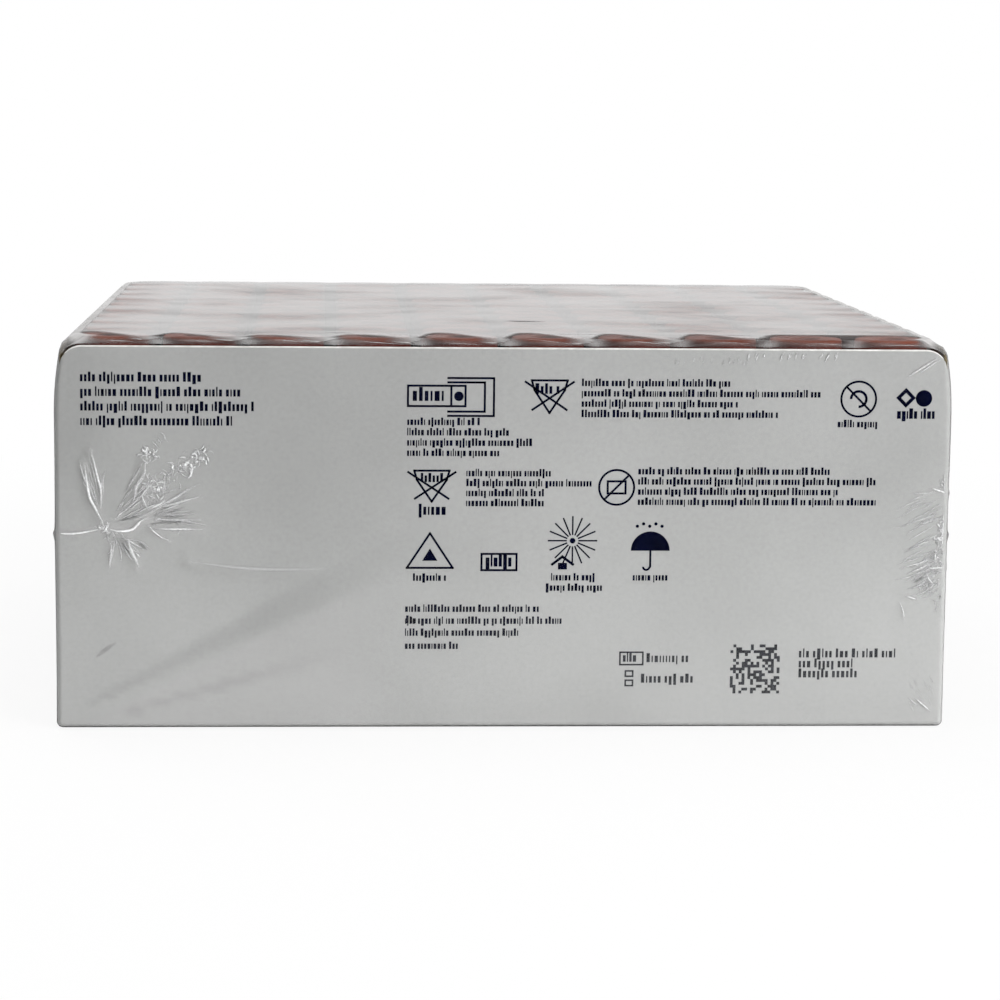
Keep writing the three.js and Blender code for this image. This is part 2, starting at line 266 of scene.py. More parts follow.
# Painted light and shade: a stopper's sides, up to just under its top, are drawn at about half colour and
# its top in full colour.
rim_painted_shade = (HEAD_TOP - 1.1, HEAD_TOP - 0.3, (0.5, 0.42, 0.5), (1, 1, 1))
RUBBER_DARK = (0.27, 0.072, 0.045)
RUBBER_LIGHT = (0.40, 0.120, 0.078)
rubber = surface("rubber", RUBBER_DARK, RUBBER_LIGHT, 17, 0.35, 0.5, 0.02, 0.12, rim_painted_shade)
foam = surface("foam", (0.70, 0.70, 0.68), (0.80, 0.80, 0.78), 6, 1.1, 0.8, 0.12)


def make_glass():
    """Drawn glass with a trace of green and faint waves."""
    material, tree, out = new_material("glass")
    shader = add(
        tree,
        "BsdfPrincipled",
        Base_Color=(0.93, 0.97, 0.96, 1),
        Roughness=0.03,
        IOR=1.47,
        Transmission_Weight=1.0,
    )
    bump = add(tree, "Bump", Strength=0.2, Distance=0.02 * MM)
    wire(tree, object_noise(tree, 1 / (7 * MM)), bump, "Height")
    wire(tree, bump, shader, "Normal")
    wire(tree, shader, out, "Surface")
    return material


glass = make_glass()


def attribute_of(tree, name):
    return add(tree, "Attribute", attribute_name=name)


def product_of(tree, first, second):
    made = add(tree, "Math", operation="MULTIPLY")
    tree.links.new(first, made.inputs[0])
    tree.links.new(second, made.inputs[1])
    return made.outputs[0]


def mixed(tree, share, first, second):
    """A mix of two shaders. The share of the second is a socket's output."""
    mix = add(tree, "MixShader")
    tree.links.new(share, mix.inputs["Fac"])
    wire(tree, first, mix, 1)
    wire(tree, second, mix, 2)
    return mix


def film_material(name):
    """Clear film. It is hazy where the mesh's veil says so, and dimmer by its shade, which is painted
    shade. It mirrors more the flatter it is seen, by its gloss."""
    material, tree, out = new_material(name)
    clear = add(tree, "BsdfTransparent")
    haze = add(tree, "BsdfPrincipled", Roughness=0.5)
    # Painted shade: the shade attribute darkens both what shows through the film and its haze.
    shade = attribute_of(tree, "shade")
    wire(tree, two_tone(tree, shade, (1, 1, 1), (0.5, 0.5, 0.5), 0, 1), clear, "Color")
    wire(tree, two_tone(tree, shade, (0.66, 0.65, 0.65), (0.33, 0.32, 0.31), 0, 1), haze, "Base Color")
    gloss = add(tree, "BsdfGlossy", Color=(0.8, 0.795, 0.795, 1), Roughness=0.1)
    clouds = object_noise(tree, 1 / (26 * MM), 1)
    uneven = add(tree, "MapRange", From_Min=0.3, From_Max=0.7, To_Min=0.88, To_Max=1.12)
    wire(tree, clouds, uneven, "Value")
    veil = product_of(tree, uneven.outputs[0], attribute_of(tree, "veil").outputs["Fac"])
    see_through = mixed(tree, veil, clear, haze)
    mirror = add(tree, "Fresnel", IOR=1.1)
    share = product_of(tree, mirror.outputs[0], attribute_of(tree, "gloss").outputs["Fac"])
    wire(tree, mixed(tree, share, see_through, gloss), out, "Surface")
    return material


def fold_material(name, colour, roughness):
    """Creased film: the mesh's white attribute says how much it hides. In its white form it is a painted
    highlight of the creases, in its dark form a painted shadow beside them.
    """
    material, tree, out = new_material(name)
    clear = add(tree, "BsdfTransparent")
    haze = add(tree, "BsdfPrincipled", Base_Color=(*colour, 1), Roughness=roughness)
    grain = object_noise(tree, 1 / (0.5 * MM), 2)
    uneven = add(tree, "MapRange", From_Min=0.3, From_Max=0.7, To_Min=0.7, To_Max=1.2)
    wire(tree, grain, uneven, "Value")
    cover = product_of(tree, uneven.outputs[0], attribute_of(tree, "white").outputs["Fac"])
    wire(tree, mixed(tree, cover, clear, haze), out, "Surface")
    return material


film_face = film_material("film_face")
film_back = film_material("film_back")
# Painted highlight: the white of the creases.
fold_highlight = fold_material("fold_highlight", (0.90, 0.905, 0.91), 0.3)
# Painted shadow: the dark beside the folds.
fold_shade = fold_material("fold_shade", (0.22, 0.22, 0.22), 0.5)


# ---- Tray ----

def unit(angle):
    return np.array([math.cos(angle), math.sin(angle)])


def square_columns(wall_steps, arc_steps):
    """Places round a square with rounded corners, counter-clockwise from the right wall's front
    end. Each is (wall, along, turn): turn is how far round the fold after the wall it lies."""
    columns = []
    straight = HALF - FOLD_RADIUS
    for wall in range(4):
        columns.extend((wall, along, 0.0) for along in wall_steps(wall, straight))
        for step in range(1, arc_steps):
            columns.append((wall, straight, step / arc_steps * math.pi / 2))
    return columns


def plan_of(column):
    """The place on the board, its outward normal and its distance from the nearest fold."""
    wall, along, turn = column
    out = unit(wall * math.pi / 2)
    side = unit((wall + 1) * math.pi / 2)
    straight = HALF - FOLD_RADIUS
    normal = unit(wall * math.pi / 2 + turn)
    point = straight * out + along * side + FOLD_RADIUS * normal
    half_arc = FOLD_RADIUS * math.pi / 4
    if turn:
        return point, normal, abs(FOLD_RADIUS * turn - half_arc)
    return point, normal, straight - abs(along) + half_arc


def leaned(x, z):
    """The film draws the side walls in towards their top."""
    share = max((z - LEAN_FROM) / (WALL_TOP - LEAN_FROM), 0)
    return x * (1 - LEAN / HALF * share ** 2)


def edge_height(from_fold, out):
    """The height of a wall's top edge, which is rounded off near each fold."""
    inside = max(EDGE_RADIUS - from_fold, 0)
    return WALL_TOP - EDGE_RADIUS + math.sqrt((EDGE_RADIUS + out) ** 2 - inside ** 2)


def tray_steps(wall, straight):
    """Finer towards the ends of a wall, where its top edge is rounded."""
    near = [straight - EDGE_RADIUS * step / 10 for step in range(11)]
    middle = np.linspace(-near[-1], near[-1], 24)[1:-1].tolist()
    return [-along for along in near] + middle + near[::-1]


def index_rows(start, width, count):
    """Lists of indices, one for each row of vertices that follow each other."""
    return [list(range(start + row * width, start + (row + 1) * width)) for row in range(count)]


def stitched(rows):
    """Faces between rows of the same number of vertices; each row is a list of indices."""
    faces = []
    for low, high in zip(rows, rows[1:]):
        for index in range(len(low)):
            after = (index + 1) % len(low)
            faces.append([low[index], low[after], high[after], high[index]])
    return faces


def bowl_rows(columns, out, lip):
    """Rings of points from the floor, round its fold and up the walls to the cut edge."""
    radius = FLOOR_RADIUS + out
    plans = [plan_of(column) for column in columns]
    base = FOOT - out
    rows = []
    for step in range(7):
        angle = step / 6 * math.pi / 2
        inset = out - radius * (1 - math.sin(angle))
        z = base + radius * (1 - math.cos(angle))
        rows.append([(*(point + inset * normal), z) for point, normal, _ in plans])
    start = base + radius
    for share in (0.12, 0.25, 0.4, 0.55, 0.7, 0.8, 0.86, 0.91, 0.95, 0.98, 1):
        row = []
        for point, normal, from_fold in plans:
            z = lerp(start, edge_height(from_fold, 0) - lip, share)
            x, y = point + out * normal
            row.append((leaned(x, z), y, z))
        rows.append(row)
    return rows


def flap_outline(side_x, side_y):
    """A glue flap's face inside a front or back wall, as points that run round it."""
    start = HALF - FOLD_RADIUS
    end = start - 28
    bottom = tray_low.z + BOARD + 1.5
    top = WALL_TOP - EDGE_RADIUS
    slope = 6
    outline = [(start, bottom), (start, top), (end + slope, top), (end, top - slope)]
    outline += [(end, bottom + slope), (end + slope, bottom)]
    face = side_y * (HALF - BOARD)
    return [[(side_x * x, face - side_y * depth, z) for x, z in outline] for depth in (-0.05, BOARD)]


def prism(front, back):
    """A closed form between two outlines of the same number of points."""
    count = len(front)
    faces = [list(range(count)), list(range(2 * count - 1, count - 1, -1))]
    for index in range(count):
        after = (index + 1) % count
        faces.append([index, index + count, after + count, after])
    return [*front, *back], faces


def facing_out(vertices, faces):
    """The faces, all turned round if they point inwards."""
    points = np.asarray(vertices, dtype=float)
    volume = 0.0
    for face in faces:
        first = points[face[0]]
        for index in range(1, len(face) - 1):
            volume += np.dot(first, np.cross(points[face[index]], points[face[index + 1]]))
    return faces if volume > 0 else [face[::-1] for face in faces]


def make_tray():
    """The folded board: printed outside, raw inside, white where it is cut on the front wall and darker on
    the other walls' cut edges, as painted shade.
    """
    columns = square_columns(tray_steps, 12)
    lip = 0.16  # the bevel on both sides of the cut edge
    outside = bowl_rows(columns, 0, 0.3) + [bowl_rows(columns, 0, lip)[-1]]
    crown = bowl_rows(columns, -lip, 0)[-1]
    inner_crown = bowl_rows(columns, lip - BOARD, 0)[-1]
    inside = bowl_rows(columns, -BOARD, lip)[::-1]
    rings = [*outside, crown, inner_crown, *inside]
    cut = range(len(outside) - 2, len(outside) + 2)  # the rows of faces on the cut edge
    raw = len(outside) + 1
    tray = Solid()
    width = len(columns)
    indices = index_rows(0, width, len(rings))
    tray.add([point for ring in rings for point in ring], [])
    for row in range(len(rings) - 1):
        tray.add_faces(stitched(indices[row:row + 2]), 1 if row > raw else 0)
        if row in cut:
            # The cut edge is light on the front wall and drawn darker on the others, as painted shade.
            fronts = [2 if wall == 3 and not turn else 3 for wall, _, turn in columns]
            tray.kinds[-width:] = fronts
    tray.add_faces([indices[0][::-1]], 0)
    tray.add_faces([indices[-1]], 1)
    for side_x in (-1, 1):
        for side_y in (-1, 1):
            points, faces = prism(*flap_outline(side_x, side_y))
            tray.add(points, facing_out(points, faces), 1)
    materials = [board_face, board_back, board_edge, board_edge_shaded]
    piece = new_piece("paper_tray", tray.vertices, tray.faces, materials, ["tray"])
    piece.data.polygons.foreach_set("material_index", tray.kinds)
    sharpen(piece, 35)
    return piece


# ---- Print ----
# Places on the front wall are (across, down): millimetres from its left edge and its top edge.

INK_BACK = FRONT + 0.02
INK_FACE = FRONT - 0.02


def on_panel(across, down, y=FRONT):
    return (tray_low.x + across, y, WALL_TOP - down)


class Ink(Solid):
    """Flat printed marks on the front wall."""

    def patch(self, outline):
        front = [on_panel(*point, INK_FACE) for point in outline]
        back = [on_panel(*point, INK_BACK) for point in outline]
        vertices, faces = prism(front, back)
        self.add(vertices, facing_out(vertices, faces))

    def bar(self, left, top, width, height):
        right, bottom = left + width, top + height
        self.patch([(left, top), (right, top), (right, bottom), (left, bottom)])

    def stroke(self, start, end, width):
        start, end = Vector(start), Vector(end)
        along = (end - start).normalized()
        across = Vector((-along.y, along.x)) * width / 2
        self.patch([start - across, end - across, end + across, start + across])

    def path(self, points, width):
        for start, end in zip(points, points[1:]):
            reach = (Vector(end) - Vector(start)).normalized() * width / 2
            self.stroke(Vector(start) - reach, Vector(end) + reach, width)

    def outline(self, left, top, width, height, line):
        self.bar(left, top, width, line)
        self.bar(left, top + height - line, width, line)
        self.bar(left, top + line, line, height - 2 * line)
        self.bar(left + width - line, top + line, line, height - 2 * line)

    def disc(self, centre, radius, start=0.0, sweep=2 * math.pi, sides=28):
        points = []
        for step in range(sides + (sweep < 2 * math.pi)):
            angle = start + sweep * step / sides
            points.append((centre[0] + radius * math.cos(angle), centre[1] - radius * math.sin(angle)))
        self.patch(points)

    def ring(self, centre, radius, line, start=0.0, sweep=2 * math.pi, sides=36):
        for step in range(sides):
            corners = []
            for share, size in ((0, radius), (1, radius), (1, radius - line), (0, radius - line)):
                angle = start + sweep * (step + share) / sides
                x = centre[0] + size * math.cos(angle)
                corners.append((x, centre[1] - size * math.sin(angle)))
            self.patch(corners)

    def words(self, left, top, length, size, draw, fill=0.66):
        """A line of plain blocks in the rhythm of small print. Size is the height of a low block,
        and fill is the share of the line that the blocks take."""
        x = left
        block = 0
        word = draw.randint(3, 9)
        while x < left + length - size * 0.3:
            width = size * draw.choice((0.2, 0.36, 0.42, 0.5, 0.36))
            rise = size * 0.38 if draw.random() < 0.24 else 0
            drop = size * 0.34 if draw.random() < 0.09 else 0
            self.bar(x, top - rise, width, size + rise + drop)
            x += width + size * 0.4 * (1 / fill - 1)
            block += 1
            if block == word:
                x += size * 0.36
                block = 0
                word = draw.randint(2, 9)


def print_piece(name, ink, material):
    new_piece(name, ink.vertices, ink.faces, material, smooth=False)


def text_block(ink, left, top, lengths, leading, size, draw):
    for line, length in enumerate(lengths):
        ink.words(left, top + line * leading, length, size, draw)


def make_title():
    draw = random.Random(3)
    ink = Ink()
    text_block(ink, 5.3, 6.0, [25, 34, 36, 31.5], 3.03, 1.45, draw)
    print_piece("print_title", ink, navy_ink)


def make_text():
    draw = random.Random(11)
    ink = Ink()
    size = 1.15
    blocks = [
        (72.8, 15.1, [15.3, 21.6, 26.3, 19.4], 2.16),
        (109.1, 6.8, [31.4, 50.5, 33.2, 41.3], 2.17),
        (85.2, 25.8, [18.4, 26.2, 16.7, 16.6], 2.1),
        (121.2, 25.3, [40.5, 50.2, 42.3, 51.2], 2.15),
        (72.6, 54.5, [28.4, 33.4, 24], 2.55),
        (72.6, 62.4, [11.5], 2.5),
        (163, 15.2, [9], 2.2),
        (74.2, 47.9, [7], 2.2),
        (103.2, 47.8, [9.6], 2.2),
        (102.1, 50, [11.8], 2.2),
        (120.4, 47.8, [7.8], 2.2),
    ]
    for left, top, lengths, leading in blocks:
        text_block(ink, left, top, lengths, leading, size, draw)
    text_block(ink, 75.3, 33.4, [6], 2.2, 1.7, draw)
    print_piece("print_text", ink, navy_ink)


def shield(ink, left, top, width, height, line):
    """A bowl-shaped outline with two crossed lines past it."""
    right = left + width
    middle = left + width / 2
    side = width * 0.14
    bend = side * 1.4
    waist = top + height * 0.3
    points = [(left + side, top), (right - side, top), (right - bend, waist)]
    points += [(middle, top + height), (left + bend, waist), (left + side, top)]
    ink.path(points, line)
    ink.stroke((left, top + 0.2), (right - side, top + height * 0.92), line)
    ink.stroke((right, top + 0.2), (left + side, top + height * 0.92), line)


def burst(ink, centre, inner, outer, rays, line):
    ink.disc(centre, inner * 0.5)
    for ray in range(rays):
        angle = 2 * math.pi * ray / rays
        away = Vector((math.cos(angle), -math.sin(angle)))
        middle = Vector(centre)
        ink.stroke(middle + away * inner, middle + away * outer, line)


def make_signs():
    """Plain shapes in the places of the pack's symbols."""
    draw = random.Random(5)
    ink = Ink()
    line = 0.45
    ink.outline(72.7, 7.8, 12.4, 4.7, line)
    ink.bar(81.7, 8, line, 4.3)
    ink.words(73.9, 9.1, 7.2, 2.1, draw)
    ink.disc((83.5, 10.2), 1)
    for right, top, bottom in ((90.8, 6.4, 14.3), (88.9, 7.3, 13.4)):
        ink.path([(81.3, top), (right, top), (right, bottom), (81.3, bottom)], line)
    shield(ink, 97.2, 6.8, 10.4, 6.8, line)
    ink.words(99.4, 8, 5.8, 1.6, draw)
    shield(ink, 72.9, 25.8, 10.2, 6.5, line)
    ink.words(75.7, 26.8, 4.6, 1.4, draw)
    ink.ring((167.3, 10.4), 3.9, line)
    ink.ring((167.3, 10.4), 1.9, 0.55, -math.pi / 2, 1.5 * math.pi, 20)
    ink.stroke((164.6, 7.7), (170, 13.1), line)
    ink.ring((116.7, 29.2), 3.9, line)
    ink.outline(114.6, 27.7, 4.2, 3, line)
    ink.stroke((114, 31.9), (119.4, 26.5), line)
    ink.ring((177.3, 10.1), 2.1, 1.05, sides=4)
    ink.disc((181.1, 10.2), 1.75)
    ink.words(175.5, 12.9, 8, 1.6, draw, 0.75)
    ink.path([(72.9, 46.3), (77.7, 39), (82.5, 46.3), (72.9, 46.3)], line)
    ink.patch([(77.7, 42.2), (79.3, 44.8), (76.1, 44.8)])
    ink.outline(88.3, 43.1, 7.8, 3.9, line)
    ink.words(89.4, 44.1, 5.8, 1.9, draw, 0.75)
    burst(ink, (107.6, 40.5), 1.2, 5.2, 16, 0.32)
    ink.path([(103.4, 45.5), (105.5, 43.9), (107.7, 45.5)], 0.55)
    ink.bar(104.6, 45.2, 1.9, 1.4)
    ink.disc((124, 42.6), 4.1, 0.0, math.pi, 20)
    ink.bar(123.8, 42.6, line, 3.6)
    ink.ring((123.2, 46), 0.9, line, math.pi, math.pi, 10)
    for drop in range(5):
        ink.disc((121.2 + 1.3 * drop, 37.4 - 0.5 * (drop % 2)), 0.36, sides=10)
    for step in range(3):
        ink.bar(72.8 + 0.75 * step, 56.4 + 0.3 * step, 0.55, 1.7 - 0.3 * step)
    print_piece("print_signs", ink, navy_ink)


def make_lot_print():
    """Grey marks in the places of the machine-printed ones, and a square of random cells."""
    draw = random.Random(8)
    ink = Ink()
    size = 1.4
    fill = 0.6
    ink.outline(117.8, 64.1, 5.2, 3, 0.35)
    ink.words(118.6, 64.9, 3.9, size, draw, 0.7)
    ink.words(123.6, 65, 8.8, size, draw, fill)
    for top in (68.1, 70.1):
        ink.outline(119, top, 1.9, 1.5, 0.35)
    ink.words(122.5, 69.4, 11, size, draw, fill)
    for line, length in enumerate((21, 11.7, 12.8)):
        ink.words(156, 64 + 2.15 * line, length, size, draw, fill)
    cell = 0.62
    cells = 17
    for row in range(cells):
        for column in range(cells):
            if draw.random() < 0.52:
                ink.bar(141.4 + column * cell, 62.6 + row * cell, cell, cell)
    print_piece("print_lattice", ink, grey_ink)


# ---- Film ----

CREST_RADIUS = HEAD_RADIUS + 0.3
CREST_Z = HEAD_TOP + 0.28
MOUTH = PITCH / 2 - 0.7 * HEAD_RADIUS  # half the width of the dip between two stoppers
DIPS = (0.2, 0.1, 0.2, 0.3)  # its depth above the right, back, left and front walls
NOTCH_SPAN = 0.6
SEAM_Z = CREST_Z / 2
SEAM_PROUD = 0.35
LEFT_GATHER = (10.3, 37.8)  # across and down on the front wall

# Rows of the film's mesh: shares of the way out along the floor, steps round its fold, heights up
# the wall, shares of the shoulder's slope from the board's edge to its crest, and distances from
# the crest in along the top.
FLOOR_SHARES = (0.03, 0.4, 0.75, 0.95, 0.985)
FOLD_STEPS = 6
SQUEEZE_FROM = 70.0
EDGE_STEPS = 4
SLOPE = np.linspace(0.06, 0.94, 17)
CREST_STEPS = 5
CREST_INSET = 1.1


def graded(start, end, step):
    count = max(int(round((end - start) / step)), 1)
    return np.linspace(start, end, count + 1).tolist()


TOP_INSETS = graded(1.8, 17.8, 1) + graded(21, 33, 4) + graded(39.5, 85, 6.5) + [88]
WALL_ROWS = graded(4, 22, 1.5) + graded(22.8, 63, 0.8)
WALL_ROWS += graded(64.2, SQUEEZE_FROM, 1.2) + graded(71, 80, 1)
WALL_START = len(FLOOR_SHARES) + FOLD_STEPS + 1
WALL_END = WALL_START + len(WALL_ROWS)


def film_steps(wall, straight):
    """The front wall is drawn finely, most of all round its two gathers."""
    if wall != 3:
        return graded(-straight, straight, 2.6)
    left = graded(-straight, -HALF + 33, 0.7)
    middle = graded(left[-1], HALF - 20, 0.9)
    right = graded(middle[-1], straight, 0.7)
    return left + middle[1:] + right[1:]


def crest_of(column):
    """The plan of the film's shoulder above a column, and how deep in a valley it lies, 0 to 1."""
    wall, along, turn = column
    straight = HALF - FOLD_RADIUS
    half_arc = FOLD_RADIUS * math.pi / 4
    facing = wall * math.pi / 2
    side = unit(facing + math.pi / 2)
    if abs(along) <= OUTER and not turn:
        point = (OUTER + CREST_RADIUS) * unit(facing) + along * side
        nearest = (round(along / PITCH + COUNT / 2) - COUNT / 2) * PITCH
        away = abs(along - nearest)
        depth = 0.5 + 0.5 * math.cos(math.pi * away / MOUTH) if away < MOUTH else 0.0
        return point, depth ** 0.8
    run = abs(along) - OUTER + FOLD_RADIUS * min(turn, math.pi / 2 - turn)
    bend = run / (straight - OUTER + half_arc) * math.pi / 4
    if turn > math.pi / 4:
        bend = math.pi / 2 - bend
    middle = OUTER * unit(facing) + math.copysign(OUTER, along) * side
    return middle + CREST_RADIUS * unit(facing + math.copysign(bend, along)), 0.0


def lerp(a, b, share):
    return a + (b - a) * share


def bezier(a, b, c, share):
    return lerp(lerp(a, b, share), lerp(b, c, share), share)


def smooth(value):
    value = min(max(value, 0.0), 1.0)
    return value * value * (3 - 2 * value)


# Where the ridge starts to fall above each stopper of the front row, as a share of the pitch, and
# how far up the shoulder it ends.
RIDGE_FALLS = (
    (0.62, 0.5), (0.5, 0.42), (0.4, 0.3), (0.36, 0.22), (0.32, 0.25),
    (0.4, 0.2), (0.5, 0.42), (0.6, 0.6), (0.7, 0.72), (0.8, 0.85),
)
RIDGE_LEAD = 0.14
RIDGE_RISE = 0.16


def ridge_place(along):
    """The stopper that a place on the front shoulder goes with, and how far past its left gap."""
    place = min(max(along / PITCH + COUNT / 2 + RIDGE_LEAD, 0), COUNT - 0.001)
    return int(place), place - int(place)


def ridge_share(along):
    """How far up the front shoulder the film's ridge runs, 0 at the board's edge to 1 at the
    crest. Above each stopper it starts at the crest and falls away to the right."""
    stopper, run = ridge_place(along)
    fall, low = RIDGE_FALLS[stopper]
    before = RIDGE_FALLS[stopper - 1][1] if stopper else 1.0
    rising = lerp(before, 1.0, smooth(run / RIDGE_RISE))
    return rising - (1 - low) * smooth((run - fall) / (1 - fall))


def shoulder_ends(column):
    """The points between which the shoulder slopes: over the board's edge, and at the crest."""
    plan, normal, from_fold = plan_of(column)
    crest, depth = crest_of(column)
    top = edge_height(from_fold + NOTCH_SPAN, FILM_GAP)
    x, y = plan + FILM_GAP * normal
    edge = np.array([leaned(x, top), y, top])
    return edge, np.array([*crest, CREST_Z - DIPS[column[0]] * depth])


def slope_point(column, share):
    """A point of the shoulder's slope, pushed out along the front by the ridge."""
    edge, crest = shoulder_ends(column)
    point = lerp(edge, crest, share)
    wall, along, turn = column
    if wall != 3 or turn:
        return point
    ridge = ridge_share(along)
    tent = share / ridge if share < ridge else (1 - share) / max(1 - ridge, 0.01)
    rise = crest - edge
    out = np.array([0, -rise[2], rise[1]]) / math.hypot(rise[1], rise[2])
    return point + 0.55 * (1 - ridge) * tent * out


def top_of_film(point, depth, inset):
    """The height of the film's top. Depth is the dip at its shoulder, inset the way in from it."""
    x = (point[0] / PITCH + COUNT / 2) % 1 - 0.5
    y = (point[1] / PITCH + COUNT / 2) % 1 - 0.5
    gap = max(math.hypot(x, y) * PITCH - HEAD_RADIUS + 0.6, 0) / 5.5
    sag = 0.04 * gap ** 1.5 * min(inset / 5, 1)
    wave = noise.noise(Vector((point[0] / 34, point[1] / 15, 4.0)))
    fine = noise.noise(Vector((point[0] / 16, point[1] / 6, 9.0)))
    ripple = (0.05 * wave + 0.003 * fine) * min(inset / 3, 1)
    return CREST_Z - depth * max(1 - inset / 4.6, 0) ** 1.5 - sag + ripple


def film_column(column):
    """The points of one column of the film, from the middle of its underside, up the wall and
    over the shoulder to the middle of its top."""
    plan, normal, _ = plan_of(column)
    edge, crest = shoulder_ends(column)
    points = []
    foot = plan - FLOOR_RADIUS * normal
    for share in FLOOR_SHARES:
        points.append((*(foot * share), film_low.z))
    for step in range(FOLD_STEPS + 1):
        angle = step / FOLD_STEPS * math.pi / 2
        inset = FILM_GAP - (FLOOR_RADIUS + FILM_GAP) * (1 - math.sin(angle))
        z = film_low.z + (FLOOR_RADIUS + FOOT - film_low.z) * (1 - math.cos(angle))
        points.append((*(plan + inset * normal), z))
    bend_start = edge[2] - 0.7
    x, y = plan + FILM_GAP * normal
    for z in WALL_ROWS:
        if z > SQUEEZE_FROM:
            share = (z - SQUEEZE_FROM) / (WALL_ROWS[-1] - SQUEEZE_FROM)
            z = lerp(SQUEEZE_FROM, bend_start, share)
        points.append((leaned(x, z), y, z))
    below = np.array(points[-1])
    for step in range(1, EDGE_STEPS + 1):
        points.append(tuple(bezier(below, edge, slope_point(column, SLOPE[0]), step / EDGE_STEPS)))
    for share in SLOPE[1:]:
        points.append(tuple(slope_point(column, share)))
    depth = CREST_Z - crest[2]

    def on_top(inset):
        place = crest[:2] * (1 - inset / (OUTER + CREST_RADIUS))
        return np.array([*place, top_of_film(place, depth, inset)])

    for step in range(1, CREST_STEPS + 1):
        turning = bezier(slope_point(column, SLOPE[-1]), crest, on_top(CREST_INSET), step / CREST_STEPS)
        points.append(tuple(turning))
    points.extend(tuple(on_top(inset)) for inset in TOP_INSETS)
    return points


def wall_lift(wall, along, z):
    """How far the film stands off the board in slow waves."""
    fade = min(max((z - 2.4) / 8, 0), 1) * min(max((CREST_Z - 2.5 - z) / 6, 0), 1)
    return 0.14 * noise.noise(Vector((along / 30 + 7 * wall, z / 22, 1.5))) * fade


def seam_lift(along, z):
    """The weld's ridge on the sides and back, with puckers drawn into it."""
    ridge = SEAM_PROUD * math.exp(-(((z - SEAM_Z) / 0.7) ** 2))
    pucker = max(noise.noise(Vector((along / 1.9, 0.3, 0.0))), 0)
    return ridge + 0.3 * pucker * math.exp(-abs(z - SEAM_Z) / 4.5)


class Fold:
    """A fold of the film on the front wall: a line of places, its width in millimetres, and how
    white it is. The white is a painted highlight of the crease; on the shadow folds it is how
    dark their painted shadow is."""

    def __init__(self, width, white, *places):
        self.width = width
        self.white = white
        self.places = [Vector(place) for place in places]


LEFT_FOLDS = [
    Fold(0.6, 0.9, (-1.6, 38.9), (3.3, 39.2), (8.3, 38.4), LEFT_GATHER),
    Fold(0.8, 1, LEFT_GATHER, (12.5, 38.6), (15.7, 38.3), (17.6, 36.5), (19.2, 35.8)),
    Fold(0.4, 0.7, (19.2, 34.8), (18.6, 33), (17.9, 31.1), (19.2, 29.5), (20.6, 27.9)),
    Fold(0.6, 0.9, (19.3, 34), (21.5, 33), (22.9, 31.9)),
    Fold(0.6, 0.75, (7.4, 21.4), (8.9, 27.9), (9.4, 30), (9.4, 34.1)),
    Fold(0.7, 0.85, (6.1, 24.6), (7, 31.1), (8.1, 33.5), (9.6, 36.5), LEFT_GATHER),
    Fold(0.35, 0.4, (7, 22.5), (8.4, 28.2), (9, 31.5)),
    Fold(0.35, 0.7, (12.3, 36.2), (13.3, 35.1), (14.9, 33.9)),
    Fold(0.8, 0.35, (14.9, 33.9), (16.3, 31.9), (16.8, 29.2), (18.4, 26.8), (18.6, 23.5)),
    Fold(0.5, 0.5, (19.4, 34.6), (25.5, 31.1), (27.9, 29.7)),
    Fold(0.7, 0.45, (20.3, 34), (30, 31.3)),
    Fold(0.6, 0.4, (19.4, 36.2), (30.3, 36.2)),
    Fold(0.8, 0.5, (20.2, 38.1), (30.3, 38.2)),
    Fold(0.4, 0.85, (19.2, 37.3), (20.2, 38.6), (21.8, 39.9), (23.6, 40.6)),
    Fold(0.8, 0.6, (14.9, 39.9), (15.4, 42.1), (17.3, 46.2)),
    Fold(0.5, 0.7, (16.5, 43.2), (17.5, 44.1)),
    Fold(0.4, 0.45, (11.5, 40.9), (11.4, 43.5), (11.2, 46.2)),
    Fold(1.0, 0.16, (28, 45), (38, 46.2), (46.5, 46.6), (56, 46.4)),
]
RIGHT_FOLDS = [
    Fold(0.45, 0.85, (183, 29.1), (184.9, 29.7), (187.1, 30.4)),
    Fold(0.35, 0.4, (179.4, 30.3), (183, 30.2), (184, 29.8)),
    Fold(0.3, 0.35, (178.7, 31.9), (182, 30.4)),
    Fold(0.5, 0.65, (178.3, 52.1), (180.8, 52.9)),
    Fold(0.4, 0.85, (182.5, 46), (183.5, 46.2), (186.7, 46)),
    Fold(0.4, 0.6, (182.5, 47), (183.3, 48.7), (184.6, 49.9)),
    Fold(0.4, 0.6, (184.4, 42.6), (184.4, 45)),
    Fold(0.4, 0.4, (177.1, 53.6), (177.9, 55.3), (178.2, 57.3)),
    Fold(0.45, 0.8, (181.1, 46.3), (181.8, 45.9)),
]
CORNER_FOLDS = [
    Fold(0.4, 0.4, (179.5, 74), (181.6, 75.8)),
    Fold(0.45, 0.75, (180.9, 74), (184.5, 77.1)),
    Fold(0.5, 0.4, (177.3, 5.8), (184, 1.4)),
    Fold(0.4, 0.35, (179.6, 5.1), (184.4, 1.8)),
]
